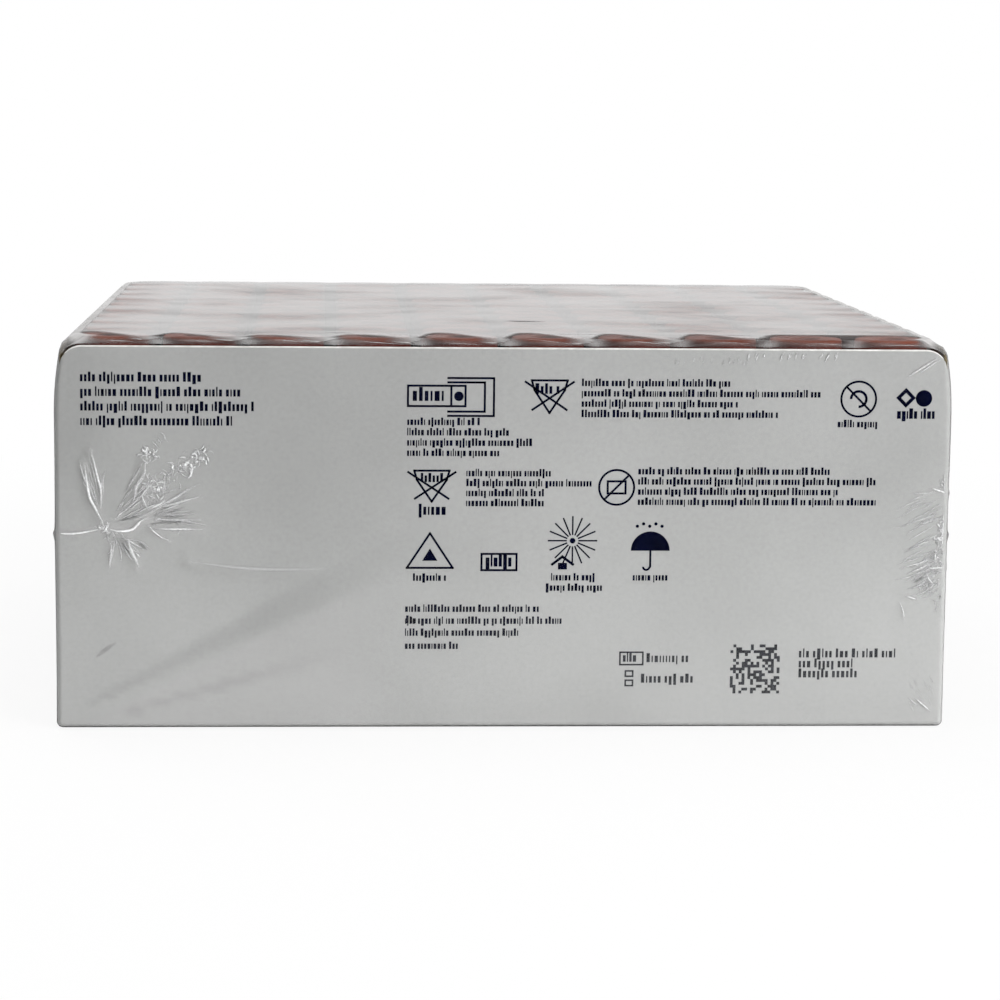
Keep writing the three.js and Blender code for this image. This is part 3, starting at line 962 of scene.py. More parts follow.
# Painted shadows beside the folds, drawn dark on the fold_shade material.
SHADOW_FOLDS = [
    Fold(0.5, 0.2, (19.4, 37.1), (22.9, 36.8), (26, 36.7)),
    Fold(0.6, 0.22, (16.8, 40.8), (18.9, 42.6)),
    Fold(0.4, 0.15, (12.3, 36.7), (15.5, 35.9), (18.4, 35.1)),
    Fold(0.9, 0.08, (8.1, 65.3), (10.5, 63.4), (12.4, 62.1)),
    Fold(0.5, 0.2, (179.9, 49.4), (182.3, 48)),
    Fold(0.5, 0.2, (184.3, 40.1), (185, 41.5)),
    Fold(0.4, 0.2, (186.6, 42.1), (186, 43.6)),
]
SOFT_FOLDS = LEFT_FOLDS + RIGHT_FOLDS + CORNER_FOLDS


def fold_field(across, down):
    """The height and whiteness that the soft folds give at arrays of places; the whiteness is a painted
    highlight.
    """
    height = np.zeros_like(across)
    white = np.zeros_like(across)
    for fold in SOFT_FOLDS:
        width = 1.4 * fold.width
        best = np.full_like(across, 1e9)
        for start, end in zip(fold.places, fold.places[1:]):
            length = (end - start).length
            step = (end - start) / length
            along = np.clip((across - start.x) * step.x + (down - start.y) * step.y, 0, length)
            away = np.hypot(across - start.x - along * step.x, down - start.y - along * step.y)
            best = np.minimum(best, away)
        body = np.exp(-((best / width) ** 2))
        height = np.maximum(height, 0.5 * fold.width * body)
        white = np.maximum(white, 0.2 * fold.white * body)
    return height, white


def soft_band(across, down, start, end, width_start, width_end):
    """1 inside a straight band that widens from start to end, fading to 0 at its sides."""
    start, end = Vector(start), Vector(end)
    length = (end - start).length
    step = (end - start) / length
    along = (across - start.x) * step.x + (down - start.y) * step.y
    away = np.abs((down - start.y) * step.x - (across - start.x) * step.y)
    width = lerp(width_start, width_end, np.clip(along / length, 0, 1))
    ends = np.clip(along / 4, 0, 1) * np.clip((length - along) / (0.5 * length), 0, 1)
    return np.exp(-((away / width) ** 4)) * ends


def with_patches(field, across, down, patches):
    """The field with soft patches added. Each has a strength, a middle and a spread."""
    for strength, middle, spread in patches:
        x, y = (across - middle[0]) / spread[0], (down - middle[1]) / spread[1]
        field = field + strength * np.exp(-x ** 2 - y ** 2)
    return field


VEIL_PATCHES = (
    (0.16, (20.5, 30), (3, 4.5)),
    (0.12, (27, 24.5), (4, 2.2)),
    (0.07, (24, 36), (7, 4)),
    (0.07, (13, 41), (5, 5)),
    (0.1, (185.5, 40), (3, 11)),
)
# Patches of painted shade on the front wall's film, where the wall is drawn darker: strength, middle and
# spread.
SHADE_PATCHES = ((0.1, (52, 26), (26, 22)), (0.11, (2, 22), (11, 18)), (0.06, (172, 22), (18, 16)))


def lower_side(across, down, start, end):
    """How far below a line places are."""
    step = (Vector(end) - Vector(start)).normalized()
    return (down - start[1]) * step.x - (across - start[0]) * step.y


def front_veil(across, down):
    """The film's faint cloudiness on the front wall, with soft patches. It grows low down, most of all low
    on the left, to draw the lower wall lighter: painted light.
    """
    veil = 0.07 * np.clip((down - 48) / 30, 0, 1)
    below = np.clip(lower_side(across, down, (6, 77), (60, 50.5)) / 2.5, 0, 1)
    veil += 0.14 * below * np.clip((74 - across) / 16, 0, 1)
    return with_patches(veil, across, down, VEIL_PATCHES)


def front_shade(across, down):
    """Painted shade in the film on the front wall: two dim bands low on the left, and dim patches."""
    shade = 0.13 * soft_band(across, down, (4.5, 76.2), (80, 38.5), 0.5, 4.8)
    shade += 0.15 * soft_band(across, down, (12, 77.5), (62, 63.5), 0.5, 1.5)
    return with_patches(shade, across, down, SHADE_PATCHES)


TOP_HAZE = 0.25
RIM_HAZE = 0.9  # over the rim of the back and side stoppers
# FRONT_SHADE and TOP_SHADE are painted shade: how much the film darkens what lies under it.
FRONT_SHADE = 0.6  # over the clear part behind and in front of the front crest
TOP_SHADE = 0.42


def side_streak(x, y):
    """1 where the film's top dips between two rows of stoppers beside a side wall."""
    from_gap = (y / PITCH + 0.5 + 0.1 * noise.noise(Vector((x / 9, y / 20, 7.0)))) % 1 - 0.5
    reach = 16 + 9 * noise.noise(Vector((0.5, y / 11, 8.0)))
    near = max(1 - (OUTER + CREST_RADIUS - abs(x)) / reach, 0)
    return near * math.exp(-((from_gap / 0.2) ** 2))


def film_edge(x):
    """How far behind the front crest the film's hazy part starts: furthest soon after each gap."""
    run = ridge_place(x)[1]
    arch = smooth((run - 0.02) / 0.33) * (1 - smooth((run - 0.4) / 0.7))
    arch = lerp(arch, 1, smooth((x - 45) / 25))
    reach = 14.5 - 8 * math.exp(-(((x + 48) / 24) ** 2))
    return reach * arch * (1 + 0.3 * noise.noise(Vector((x / 20, 2.0, 3.0))))


def behind_edge(x, y):
    """How far a place on the film's top lies behind the start of its hazy part."""
    return y + OUTER + CREST_RADIUS - film_edge(x)


def top_veil(x, y):
    """The cloudiness of the film's top: broad patches, clearer near the sides."""
    streak = noise.noise(Vector((x / 26, y / 30, 2.0))) + 0.4 * noise.noise(Vector((x / 14, y / 9, 6.0)))
    from_side = OUTER + CREST_RADIUS - abs(x)
    from_back = OUTER + CREST_RADIUS - y
    inner = (TOP_HAZE + 0.2 * streak) * lerp(0.6, 1, smooth((from_side - 2) / 14))
    inner -= 0.25 * side_streak(x, y)
    behind = behind_edge(x, y)
    inner = lerp(0.06, inner, smooth(behind / 4 + 0.5)) + 0.35 * math.exp(-((behind / 2) ** 2))
    return lerp(RIM_HAZE, inner, smooth(from_side / 2) * smooth((from_back - 1) / 6))


def top_gloss(x, y):
    """How strongly the film's top mirrors: less in long patches and in the dips beside the sides."""
    patch = noise.noise(Vector((x / 32, y / 20, 9.0))) + 0.5 * noise.noise(Vector((x / 12, y / 8, 4.0)))
    return 1.35 - 0.55 * min(max(patch + 0.1, 0), 1) - 0.45 * side_streak(x, y)


def gap_share(x):
    """1 in the gap between two stoppers of the front row, fading to 0 beside it."""
    from_gap = (x / PITCH + 0.48) % 1 - 0.5
    return math.exp(-((from_gap / 0.11) ** 2))


def ridge_veil(column, share):
    """The cloudiness of the shoulder: clear below its ridge and hazy above, with a white line along the
    ridge that is a painted highlight.
    """
    wall, along, turn = column
    if wall != 3 or turn:
        low = RIM_HAZE if wall == 1 or wall == 0 and turn else 0.3
        return lerp(low, RIM_HAZE, smooth((share - 0.35) / 0.45))
    ridge = ridge_share(along)
    line = 0.8 * smooth(ridge_place(along)[1] / RIDGE_RISE)
    cloud = 0.5 + noise.noise(Vector((along / 6, share * 2, 3.0)))
    hazy = 0.16 * cloud * math.sin(math.pi * min(share / ridge, 1)) ** 2
    corner = 0.3 * smooth((-OUTER - 3 - along) / 5) + 0.12 * smooth((along - OUTER - 5) / 4)
    low_part = 1 - smooth(film_edge(along) / 6)
    over = smooth((share - ridge) / 0.1 + 0.5) * low_part
    upper = lerp(0.3, 0.4, smooth((share - ridge) / max(1 - ridge, 0.2)))
    # Painted highlight: a white line along the ridge.
    white = line * low_part * math.exp(-(((share - ridge) / 0.045) ** 2))
    return lerp(0.01 + hazy + corner, upper, over) + white + 0.29 * gap_share(along)


def shoulder_shade(column, share):
    """Painted shade in the film on the shoulders: between the gaps at the front, uneven on the others."""
    wall, along, turn = column
    if wall == 3 and not turn:
        return FRONT_SHADE * (1 - 0.8 * gap_share(along))
    return 0.5 + 0.5 * noise.noise(Vector((along / 6, wall + share, 5.0)))


def make_film():
    """The whole film as one thin closed skin, with the weld, the gathers' folds and the shoulder
    in its mesh."""
    columns = square_columns(film_steps, 8)
    grid = np.array([film_column(column) for column in columns]).transpose(1, 0, 2)
    rows, width = grid.shape[:2]
    normals = np.array([plan_of(column)[1] for column in columns])
    front = np.zeros((rows, width))
    base = grid.copy()
    wall_rows = range(WALL_START - 3, WALL_END + EDGE_STEPS)
    for index, (wall, along, turn) in enumerate(columns):
        on_front = wall == 3 or (wall == 2 and turn > 0.8)
        front[wall_rows, index] = on_front
        for row in wall_rows:
            z = base[row, index, 2]
            lift = wall_lift(wall, along, z)
            base[row, index, :2] += lift * normals[index]
            if not on_front:
                lift += seam_lift(along + 200 * wall + 10 * turn, z)
            grid[row, index, :2] += lift * normals[index]
    across = grid[:, :, 0] - tray_low.x
    down = WALL_TOP - grid[:, :, 2]
    height, white = fold_field(across, down)
    grid[:, :, :2] += (front * height)[:, :, None] * normals[None]
    veil = front * (white + front_veil(across, down)) + (1 - front) * 0.05
    shade = front * front_shade(across, down)
    shares = [0.0] * EDGE_STEPS + SLOPE[1:].tolist() + np.linspace(0.95, 1.05, CREST_STEPS).tolist()
    for index, column in enumerate(columns):
        first = EDGE_STEPS if column[0] == 3 else 0
        for step, share in enumerate(shares[first:]):
            veil[WALL_END + first + step, index] = ridge_veil(column, share)
            shade[WALL_END + first + step, index] = shoulder_shade(column, share)
        for row in range(WALL_END + len(shares), rows):
            veil[row, index] = top_veil(*grid[row, index, :2])
    gloss = 1.3 * np.clip(1 - veil, 0, 1)
    for index, (wall, along, turn) in enumerate(columns):
        if wall == 3 and not turn:
            clear = smooth(film_edge(along) / 6)
            for step, share in enumerate(shares[EDGE_STEPS:]):
                near_top = smooth((share - 0.5) / 0.3)
                gloss[WALL_END + EDGE_STEPS + step, index] *= 1 - 0.85 * near_top * clear
        for row in range(WALL_END + len(shares), rows):
            place = grid[row, index, :2]
            beyond = smooth(behind_edge(*place) / 4 + 0.5)
            gloss[row, index] = lerp(0.2, top_gloss(*place), beyond)
            # Painted shade in the film's top, with more of it in the dips beside the side walls.
            shade[row, index] = lerp(FRONT_SHADE, TOP_SHADE + 0.25 * side_streak(*place), beyond)

    indices = index_rows(0, width, rows)
    faces = [*stitched(indices), indices[0][::-1], indices[-1]]
    outer_faces = len(faces)
    inner, inner_indices = inner_skin(base, columns, rows * width)
    for face in stitched(inner_indices):
        faces.append(face[::-1])
    faces.append(inner_indices[0])
    faces.append(inner_indices[-1][::-1])
    vertices = grid.reshape(-1, 3).tolist() + inner
    piece = new_piece("film", vertices, faces, [film_face, film_back], ["shrink_film"])
    kinds = [0] * outer_faces + [1] * (len(faces) - outer_faces)
    piece.data.polygons.foreach_set("material_index", kinds)
    for name, values in (("veil", veil), ("shade", shade), ("gloss", gloss)):
        set_field(piece, name, values.reshape(-1).tolist() + [0.0] * len(inner))


def set_field(piece, name, values):
    field = piece.data.attributes.new(name, "FLOAT", "POINT")
    field.data.foreach_set("value", values)


def inner_skin(base, columns, start):
    """The film's inner face, drawn more coarsely: the same form without its folds, a skin's
    thickness further in. Returns its vertices and its rows of indices."""
    kept_rows = []
    for row in range(base.shape[0]):
        if not WALL_START <= row < WALL_END or (row - WALL_START) % 4 == 1:
            kept_rows.append(row)
    kept = []
    for index, (_, along, turn) in enumerate(columns):
        if turn or HALF - FOLD_RADIUS - abs(along) < 6 or index % 3 == 0:
            kept.append(index)
    round_it = np.roll(base, -1, axis=1) - np.roll(base, 1, axis=1)
    normal = np.cross(round_it, np.gradient(base, axis=0))
    normal /= np.maximum(np.linalg.norm(normal, axis=2, keepdims=True), 1e-9)
    picked = (base - FILM_SKIN * normal)[kept_rows][:, kept]
    return picked.reshape(-1, 3).tolist(), index_rows(start, len(kept), len(kept_rows))


# ---- Fine folds of the film ----

class Pleats(Solid):
    """Tapered ridges of triangular section on the film, and how much each place of them hides."""

    def __init__(self):
        super().__init__()
        self.white = []

    def ridge(self, points, outward, width, white, kind):
        """A ridge along points that lie on the film; kind 0 is white, a painted highlight, and 1 dark, a
        painted shadow.
        """
        last = len(points) - 1
        vertices = []
        for index, point in enumerate(points):
            taper = max(math.sin(math.pi * index / last), 0.15) ** 0.7
            along = points[min(index + 1, last)] - points[max(index - 1, 0)]
            side = along.cross(outward).normalized() * width / 2 * taper
            vertices += [point - side, point + side, point + outward * 0.16 * width * taper]
            self.white += [white * taper] * 3
        faces = [[0, 1, 2], [3 * last + 2, 3 * last + 1, 3 * last]]
        for step in range(0, 3 * last, 3):
            for a, b in ((0, 1), (1, 2), (2, 0)):
                faces.append([step + a, step + a + 3, step + b + 3, step + b])
        self.add(vertices, facing_out(vertices, faces), kind)

    def on_wall(self, places, width, white, kind=0):
        """A ridge on the front wall through places (across, down)."""
        places = curve(places, 0.8)
        across = np.clip([place[0] for place in places], FOLD_RADIUS, 2 * HALF - FOLD_RADIUS)
        down = np.array([place[1] for place in places])
        height, _ = fold_field(across, down)
        points = []
        for x, low, rise in zip(across + tray_low.x, down, height):
            z = WALL_TOP - low
            points.append(Vector((x, FRONT - FILM_GAP - wall_lift(3, x, z) - rise + 0.01, z)))
        self.ridge(points, Vector((0, -1, 0)), width, white, kind)


def curve(places, step):
    """Points about a step apart on a smooth curve through some places."""
    places = [Vector(place) for place in places]
    padded = [2 * places[0] - places[1], *places, 2 * places[-1] - places[-2]]
    points = []
    for before, start, end, after in zip(padded, padded[1:], padded[2:], padded[3:]):
        count = max(int((end - start).length / step), 1)
        for index in range(count):
            t = index / count
            bend = 2 * start + (end - before) * t
            bend += (2 * before - 5 * start + 4 * end - after) * t * t
            points.append((bend + (3 * start - before - 3 * end + after) * t ** 3) / 2)
    points.append(places[-1])
    return points if len(points) > 2 else [points[0], (points[0] + points[1]) / 2, points[1]]


def fan(pleats, draw, centre, count, angles, starts, lengths, kind=0):
    """Fine folds that radiate from a place; angles in degrees, 0 to the right and 90 up. Kind 0 is a
    painted highlight, kind 1 a painted shadow.
    """
    for _ in range(count):
        angle = math.radians(draw.uniform(*angles))
        away = Vector((math.cos(angle), -math.sin(angle)))
        start = Vector(centre) + away * draw.uniform(*starts)
        end = start + away * draw.uniform(*lengths)
        bend = Vector((-away.y, away.x)) * draw.uniform(-0.5, 0.5)
        white = draw.uniform(0.2, 0.5) * (0.22 if kind else 1)
        pleats.on_wall([start, (start + end) / 2 + bend, end], draw.uniform(0.18, 0.45), white, kind)


def crumple(pleats, draw, centre, spread, count, white, width=0.2):
    """Short bent folds in all directions, close together."""
    for _ in range(count):
        place = Vector((draw.gauss(centre[0], spread[0] / 2), draw.gauss(centre[1], spread[1] / 2)))
        heading = draw.uniform(0, 2 * math.pi)
        turn = draw.uniform(-0.9, 0.9)
        places = [place]
        for _ in range(draw.randint(2, 5)):
            place = place + draw.uniform(0.25, 0.6) * Vector((math.cos(heading), math.sin(heading)))
            heading += turn
            places.append(place)
        pleats.on_wall(places, width * draw.uniform(0.6, 1.5), white * draw.uniform(0.3, 1))


def left_pleats(pleats, draw):
    fan(pleats, draw, LEFT_GATHER, 26, (18, 62), (3, 10), (3, 8))
    fan(pleats, draw, LEFT_GATHER, 5, (25, 60), (5, 9), (2, 5), kind=1)
    fan(pleats, draw, (19.2, 35.5), 20, (-12, 42), (0.5, 4), (4, 9))
    fan(pleats, draw, (19.2, 35.5), 5, (-8, 35), (2, 5), (3, 6), kind=1)
    fan(pleats, draw, (12.5, 39), 16, (-115, -20), (0.8, 3), (2, 6))
    fan(pleats, draw, (12.5, 39), 3, (-80, -20), (1.5, 3), (2, 4), kind=1)
    fan(pleats, draw, (9.6, 36), 10, (85, 118), (2, 6), (4, 8))
    for centre, spread, count in (
        ((19.5, 22.4), (1.5, 0.9), 12),
        ((29.8, 22.6), (1.6, 1.5), 16),
        ((26.8, 25.2), (2, 1.3), 14),
        ((21.4, 29), (2.6, 2.4), 16),
        ((10.4, 38.2), (1.2, 0.5), 10),
    ):
        crumple(pleats, draw, centre, spread, count, 1.0, 0.42)
    for centre, spread, count, white in (
        ((19.7, 22.3), (1.6, 1), 24, 0.8),
        ((21.4, 19.3), (2, 0.5), 12, 0.35),
        ((29.6, 22.8), (1.9, 1.6), 26, 0.7),
        ((26.6, 25.4), (2, 1.4), 26, 0.7),
        ((24.2, 27), (1.9, 1.6), 26, 0.55),
        ((21.4, 29.4), (3, 2.6), 80, 0.5),
        ((19.6, 32.4), (2.2, 2), 46, 0.5),
        ((10.3, 38.2), (1.5, 0.6), 18, 0.7),
        ((12.3, 40.3), (2.2, 1.4), 24, 0.4),
        ((23, 36.5), (4, 2), 24, 0.25),
    ):
        crumple(pleats, draw, centre, spread, count, white)


def right_pleats(pleats, draw):
    for _ in range(52):
        centre = (187.5, draw.uniform(29, 49))
        fan(pleats, draw, centre, 1, (196, 216), (1.5, 6), (3, 8))
    for centre, spread, count, white, width in (
        ((185.9, 28.3), (1, 1), 12, 0.5, 0.3),
        ((186, 37.6), (1.1, 1.6), 34, 0.7, 0.3),
        ((186, 40.3), (1.4, 1.6), 34, 0.7, 0.3),
        ((184.8, 45.5), (1.6, 3.4), 50, 0.5, 0.25),
        ((183, 50), (2.2, 1.6), 30, 0.5, 0.25),
        ((185.5, 52), (1.2, 2.6), 20, 0.35, 0.2),
    ):
        crumple(pleats, draw, centre, spread, count, white, width)


def edge_pleats(pleats, draw):
    """Short ticks under the top edge, and faint ones in the lower right corner."""
    for across in (143.8, 145.4, 147, 150.8, 152.2, 153.8, 155.4, 158.8, 160.2, 162.2):
        for _ in range(2):
            top = (across + draw.uniform(0.1, 0.9), draw.uniform(0.4, 1))
            foot = (across - draw.uniform(0, 0.4), draw.uniform(1.6, 2.8))
            pleats.on_wall([top, foot], draw.uniform(0.25, 0.45), draw.uniform(0.2, 0.5))
    for _ in range(20):
        across = draw.uniform(128, 144)
        down = draw.uniform(1.4, 2.6)
        pleats.on_wall([(across + 0.2, down), (across, down + 1.2)], 0.35, draw.uniform(0.08, 0.2))
    for _ in range(10):
        across = draw.uniform(179, 184)
        down = draw.uniform(69, 75)
        pleats.on_wall([(across, down), (across + 1.2, down + 2.4)], 0.35, draw.uniform(0.06, 0.16))


def shoulder_pleats(pleats, draw):
    """Fine lines down the front shoulder, below its ridge and in step with it."""
    for stopper in range(COUNT):
        for _ in range(2):
            low, high = draw.uniform(0.15, 0.45), draw.uniform(0.6, 0.97)
            depth = draw.uniform(0.35, 0.85)
            points = []
            for step in range(9):
                along = (stopper + lerp(low, high, step / 8) - COUNT / 2) * PITCH
                points.append(Vector(slope_point((3, along, 0.0), depth * ridge_share(along))))
            pleats.ridge(points, Vector((0, -0.55, 0.83)), 0.2, draw.uniform(0.1, 0.35), 0)


def top_pleats(pleats, draw):
    """Faint wrinkles along the front of the film's top, and one deep one. The dark ones, the deep one
    among them, are painted shadow; the white ones painted highlight.
    """
    reach = OUTER + CREST_RADIUS
    wrinkles = [(2.5, 48, 9, 1, 1), (3.5, 46, 7, 0.8, 1)]
    for _ in range(14):
        inset = draw.uniform(1.5, 14)
        kind = int(draw.random() < 0.4)
        left = draw.uniform(-85, 75)
        length = draw.uniform(6, 18)
        wrinkles.append((left, inset, length, draw.uniform(0.06, 0.2), kind))
    for left, inset, length, white, kind in wrinkles:
        drift = draw.uniform(-1.5, 1.5)
        points = []
        for step in range(9):
            share = step / 8
            x = left + length * share
            y = -reach + inset + drift * share
            points.append(Vector((x, y, top_of_film((x, y), 0.0, reach + y))))
        pleats.ridge(points, Vector((0, 0, 1)), 0.6, white, kind)


def make_fine_folds():
    pleats = Pleats()
    for fold in SOFT_FOLDS:
        pleats.on_wall(fold.places, 0.8 * fold.width, fold.white)
    for fold in SHADOW_FOLDS:
        pleats.on_wall(fold.places, fold.width, fold.white, kind=1)
    draw = random.Random(21)
    left_pleats(pleats, draw)
    right_pleats(pleats, draw)
    edge_pleats(pleats, draw)
    shoulder_pleats(pleats, draw)
    top_pleats(pleats, draw)
    piece = new_piece("film_folds", pleats.vertices, pleats.faces, [fold_highlight, fold_shade])
    piece.data.polygons.foreach_set("material_index", pleats.kinds)
    set_field(piece, "white", pleats.white)


# ---- Tubes, stoppers and rack ----

def tube_profile(steps=8):
    bore = TUBE_RADIUS - TUBE_WALL
    length = tube_high.z - tube_low.z
    profile = []
    for step in range(steps + 1):
        angle = step / steps * math.pi / 2
        profile.append((TUBE_RADIUS * math.sin(angle), TUBE_RADIUS * (1 - math.cos(angle))))
    rim = TUBE_WALL * 0.35
    profile += [(TUBE_RADIUS, length - rim), (TUBE_RADIUS - rim, length), (bore + rim, length)]
    for step in range(steps, -1, -1):
        angle = step / steps * math.pi / 2
        profile.append((bore * math.sin(angle), TUBE_RADIUS - bore * math.cos(angle)))
    profile.insert(-steps - 1, (bore, length - rim))
    return [(0 if radius < 1e-9 else radius, height) for radius, height in profile]


def stopper_profile():
    """The plug with its hollow, the head with softened edges and a moulded step, and the recess
    in its top. The underside of the head is at 0."""
    plug = TUBE_RADIUS - TUBE_WALL - 0.3
    bottom = head_low.z - SEAT
    hollow_top = bottom + 5
    hollow = 2.5
    target = 3.2
    depth = 1.2
    top = HEAD_HEIGHT
    upper = HEAD_RADIUS - 0.12  # the head's radius above its moulded step
    points = [(0, hollow_top), (hollow, hollow_top), (hollow, bottom)]
    points += rounded((plug, bottom), (hollow, bottom), (plug, 0), 0.5)
    points += [(plug, 0)]
    points += rounded((HEAD_RADIUS, 0), (plug, 0), (HEAD_RADIUS, top), 0.4)
    points += [(HEAD_RADIUS, top * 0.45), (upper, top * 0.52)]
    points += rounded((upper, top), (upper, 0), (0, top), 0.7, 6)
    points += rounded((target, top), (HEAD_RADIUS, top), (target, 0), 0.35)
    points += rounded((target, top - depth), (target, top), (0, top - depth), 0.4)
    points += [(0, top - depth)]
    return points


def placed(vertices, x, y, z):
    return [(vx + x, vy + y, vz + z) for vx, vy, vz in vertices]


def row_place(row):
    return row * PITCH - OUTER


def upright(name, form, places, material, replaces=()):
    """One piece made of a turned form's copies at some places."""
    copies = Solid()
    for place in places:
        copies.add(placed(form[0], *place), form[1])
    sharpen(new_piece(name, copies.vertices, copies.faces, material, replaces), 50)


def make_front_row():
    tube_form = turned(tube_profile(), 48)
    stopper_form = turned(stopper_profile(), 64)
    y = row_place(0)
    for column in range(COUNT):
        x = row_place(column)
        number = f"{column + 1:02d}"
        tube, head = [(x, y, tube_low.z)], [(x, y, SEAT)]
        upright(f"glass_{number}", tube_form, tube, glass, [f"tube_{number}"])
        upright(f"rubber_{number}", stopper_form, head, rubber, [f"stopper_{number}"])


def make_rows_behind():
    plans = [(row_place(column), row_place(row)) for row in range(1, COUNT) for column in range(COUNT)]
    tubes = [(x, y, tube_low.z) for x, y in plans]
    heads = [(x, y, SEAT) for x, y in plans]
    upright("glass_rows", turned(tube_profile(5), 20), tubes, glass)
    upright("rubber_rows", turned(stopper_profile(), 26), heads, rubber)


RACK_HEIGHT = 30
CELL_STEPS = 6  # along each side of a square


def cell_edges(place):
    """The two edges of a row or a column of the rack's squares."""
    half = rack_high.x
    low = row_place(place) - PITCH / 2 if place else -half
    high = row_place(place) + PITCH / 2 if place < COUNT - 1 else half
    return low, high


def rack_cell(column, row, top, bottom):
    """One square of the rack with its hole: rings of points for the square's edge and the hole."""
    left, right = cell_edges(column)
    front, back = cell_edges(row)
    middle_x, middle_y = row_place(column), row_place(row)
    corners = [(right, back), (left, back), (left, front), (right, front)]
    square = []
    circle = []
    radius = TUBE_RADIUS + HOLE_CLEARANCE
    for side in range(4):
        for step in range(CELL_STEPS):
            start, end = corners[side], corners[(side + 1) % 4]
            share = step / CELL_STEPS
            square.append((lerp(start[0], end[0], share), lerp(start[1], end[1], share)))
            angle = math.pi / 4 + (side + share) * math.pi / 2
            circle.append((middle_x + radius * math.cos(angle), middle_y + radius * math.sin(angle)))
    bevel = 0.5
    flared = []
    for x, y in circle:
        wide = Vector((x - middle_x, y - middle_y)) * (1 + bevel / radius)
        flared.append((middle_x + wide.x, middle_y + wide.y))
    rings = [[(*point, top) for point in square], [(*point, top) for point in flared]]
    rings.append([(*point, top - bevel) for point in circle])
    rings.append([(*point, bottom) for point in circle])
    rings.append([(*point, bottom) for point in square])
    return rings


def make_rack():
    """The moulded foam block, with a hole through it for each tube."""
    rack = Solid()
    bottom = rack_low.z
    top = bottom + RACK_HEIGHT
    for row in range(COUNT):
        for column in range(COUNT):
            rings = rack_cell(column, row, top, bottom)
            vertices = [point for ring in rings for point in ring]
            rack.add(vertices, stitched(index_rows(0, len(rings[0]), len(rings))))
    half = rack_high.x
    steps = []
    for column in range(COUNT):
        left, right = cell_edges(column)
        steps.extend(lerp(left, right, step / CELL_STEPS) for step in range(CELL_STEPS))
    ring = [(s, -half) for s in steps] + [(half, s) for s in steps]
    ring += [(-s, half) for s in steps] + [(-half, -s) for s in steps]
    sides = [[(*point, z) for point in ring] for z in (bottom, (bottom + top) / 2, top)]
    vertices = [point for level in sides for point in level]
    rack.add(vertices, stitched(index_rows(0, len(ring), len(sides))))
    piece = new_piece("foam_rack", rack.vertices, rack.faces, foam, ["tube_rack"])
    weld(piece)
    sharpen(piece, 30)
    return piece


def weld(piece):
    """Joins vertices that lie on each other."""
    join = piece.modifiers.new("weld", "WELD")
    join.merge_threshold = 0.01 * MM
    graph = bpy.context.evaluated_depsgraph_get()
    mesh = bpy.data.meshes.new_from_object(piece.evaluated_get(graph))
    piece.modifiers.clear()
    piece.data = mesh


# ---- Stage ----

def white_where_seen(tree, plain, white):
    """The white shader for rays from the camera, a mirror or clear stuff, and the plain one for
    all others."""
    path = add(tree, "LightPath")
    seen = path.outputs["Is Camera Ray"]
    for kind in ("Is Glossy Ray", "Is Transmission Ray"):
        either = add(tree, "Math", operation="MAXIMUM")
        tree.links.new(seen, either.inputs[0])
        tree.links.new(path.outputs[kind], either.inputs[1])
        seen = either.outputs[0]
    return mixed(tree, seen, plain, white)


def make_floor():
    """A white floor that keeps the pack's soft shadow."""
    material, tree, out = new_material("floor")
    paper = add(tree, "BsdfDiffuse", Color=(0.92, 0.92, 0.92, 1))
    white = add(tree, "Emission", Color=(1, 1, 1, 1), Strength=1.0)
    place = add(tree, "TexCoord")
    distance = add(tree, "VectorMath", operation="LENGTH")
    wire(tree, place, distance, 0, "Object")
    glow = add(tree, "MapRange", From_Min=0.1, From_Max=0.4, To_Min=0.86, To_Max=1.0)
    wire(tree, distance, glow, "Value", "Value")
    glowing = mixed(tree, glow.outputs[0], paper, white)
    wire(tree, white_where_seen(tree, paper, glowing), out, "Surface")
    size = 4.0
    drop = 0.0002  # below the pack's underside
    mesh = bpy.data.meshes.new("floor")
    corners = [(x * size, y * size, -drop) for x, y in CORNER_SIGNS]
    mesh.from_pydata(corners, [], [[0, 1, 2, 3]])
    floor = bpy.data.objects.new("floor", mesh)
    bpy.context.collection.objects.link(floor)
    mesh.materials.append(material)


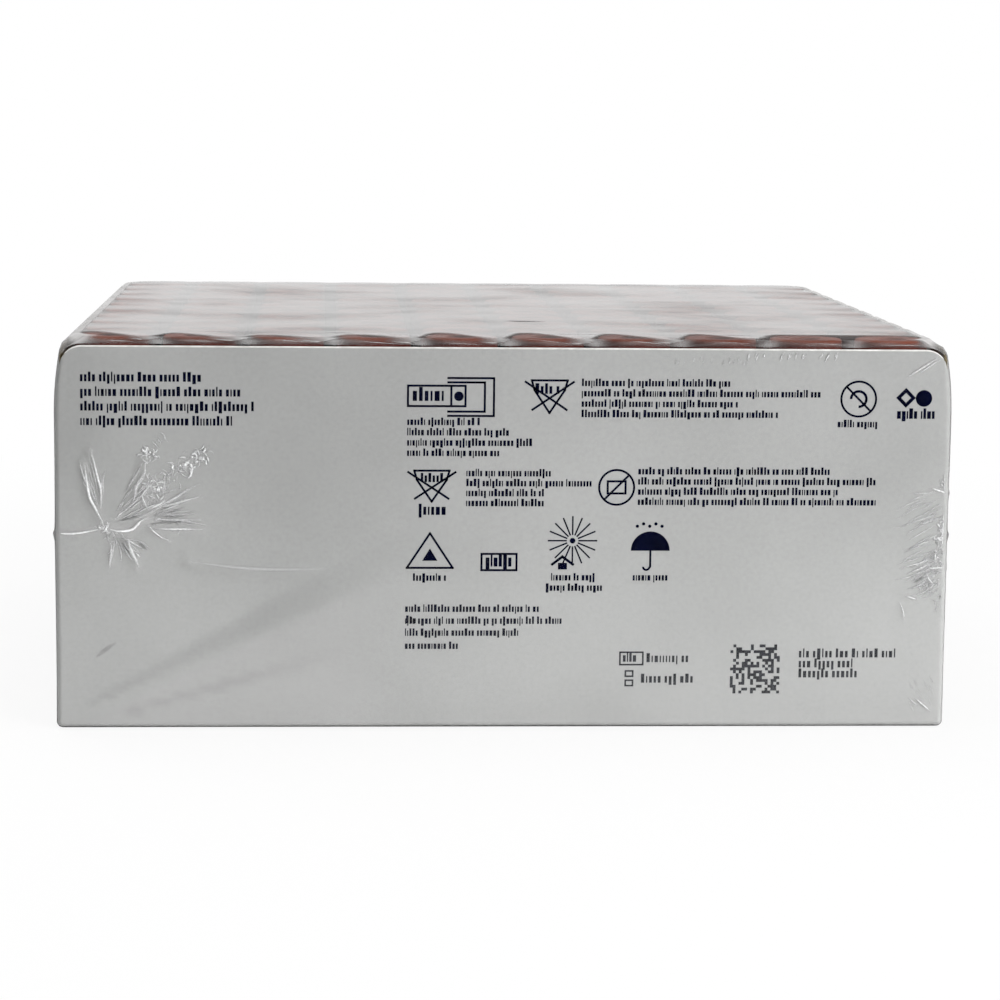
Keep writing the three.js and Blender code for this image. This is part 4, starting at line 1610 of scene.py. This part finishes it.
def make_world():
    """White where it is seen or mirrored, and a plain soft light elsewhere."""
    world = bpy.data.worlds.new("studio")
    bpy.context.scene.world = world
    world.use_nodes = True
    tree = world.node_tree
    tree.nodes.clear()
    out = add(tree, "OutputWorld")
    plain = add(tree, "Background", Color=(1, 1, 1, 1), Strength=0.34)
    white = add(tree, "Background", Color=(1, 1, 1, 1), Strength=1.0)
    wire(tree, white_where_seen(tree, plain, white), out, "Surface")


def make_lamp(name, place, aim, size, power, mirrored=True):
    """A soft square lamp; place and aim in metres, power in watts. A low lamp that is mirrored
    would lie as a white patch on the film's flat top."""
    data = bpy.data.lights.new(name, "AREA")
    data.size = size
    data.energy = power
    lamp = bpy.data.objects.new(name, data)
    bpy.context.collection.objects.link(lamp)
    lamp.visible_glossy = mirrored
    lamp.location = place
    lamp.rotation_mode = "QUATERNION"
    lamp.rotation_quaternion = (Vector(aim) - Vector(place)).to_track_quat("-Z", "Y")


def make_camera():
    data = bpy.data.cameras.new("camera")
    data.lens = 106.95
    data.sensor_width = 36
    pitch, yaw, roll = 0.1358, 0.0587, 0.0106  # radians: down, to the right, anticlockwise
    level = math.cos(pitch)
    forward = Vector((math.sin(yaw) * level, math.cos(yaw) * level, -math.sin(pitch)))
    level = Vector((math.cos(yaw), -math.sin(yaw), 0))
    up = level.cross(forward)
    right = math.cos(roll) * level + math.sin(roll) * up
    above = math.cos(roll) * up - math.sin(roll) * level
    camera = bpy.data.objects.new("camera", data)
    bpy.context.collection.objects.link(camera)
    turn = Matrix((right, above, -forward)).transposed().to_4x4()
    camera.matrix_world = Matrix.Translation(Vector((-37.3, -707.4, 132.5)) * MM) @ turn
    bpy.context.scene.camera = camera


make_camera()
make_tray()
make_title()
make_text()
make_signs()
make_lot_print()
make_film()
make_fine_folds()
make_front_row()
make_rows_behind()
make_rack()
make_floor()
make_world()
make_lamp("key", (0.62, -0.72, 0.25), (0, -0.05, 0.04), 0.5, 8.9, mirrored=False)
make_lamp("top", (-0.1, 0.1, 1.1), (0, 0, 0.05), 0.9, 5)
make_lamp("fill", (-0.8, -0.5, 0.4), (0, 0, 0.04), 0.6, 0.4)
make_lamp("back", (-0.5, 0.8, 0.9), (0, 0.05, 0.04), 0.7, 3)
bpy.context.scene.view_settings.view_transform = "Standard"
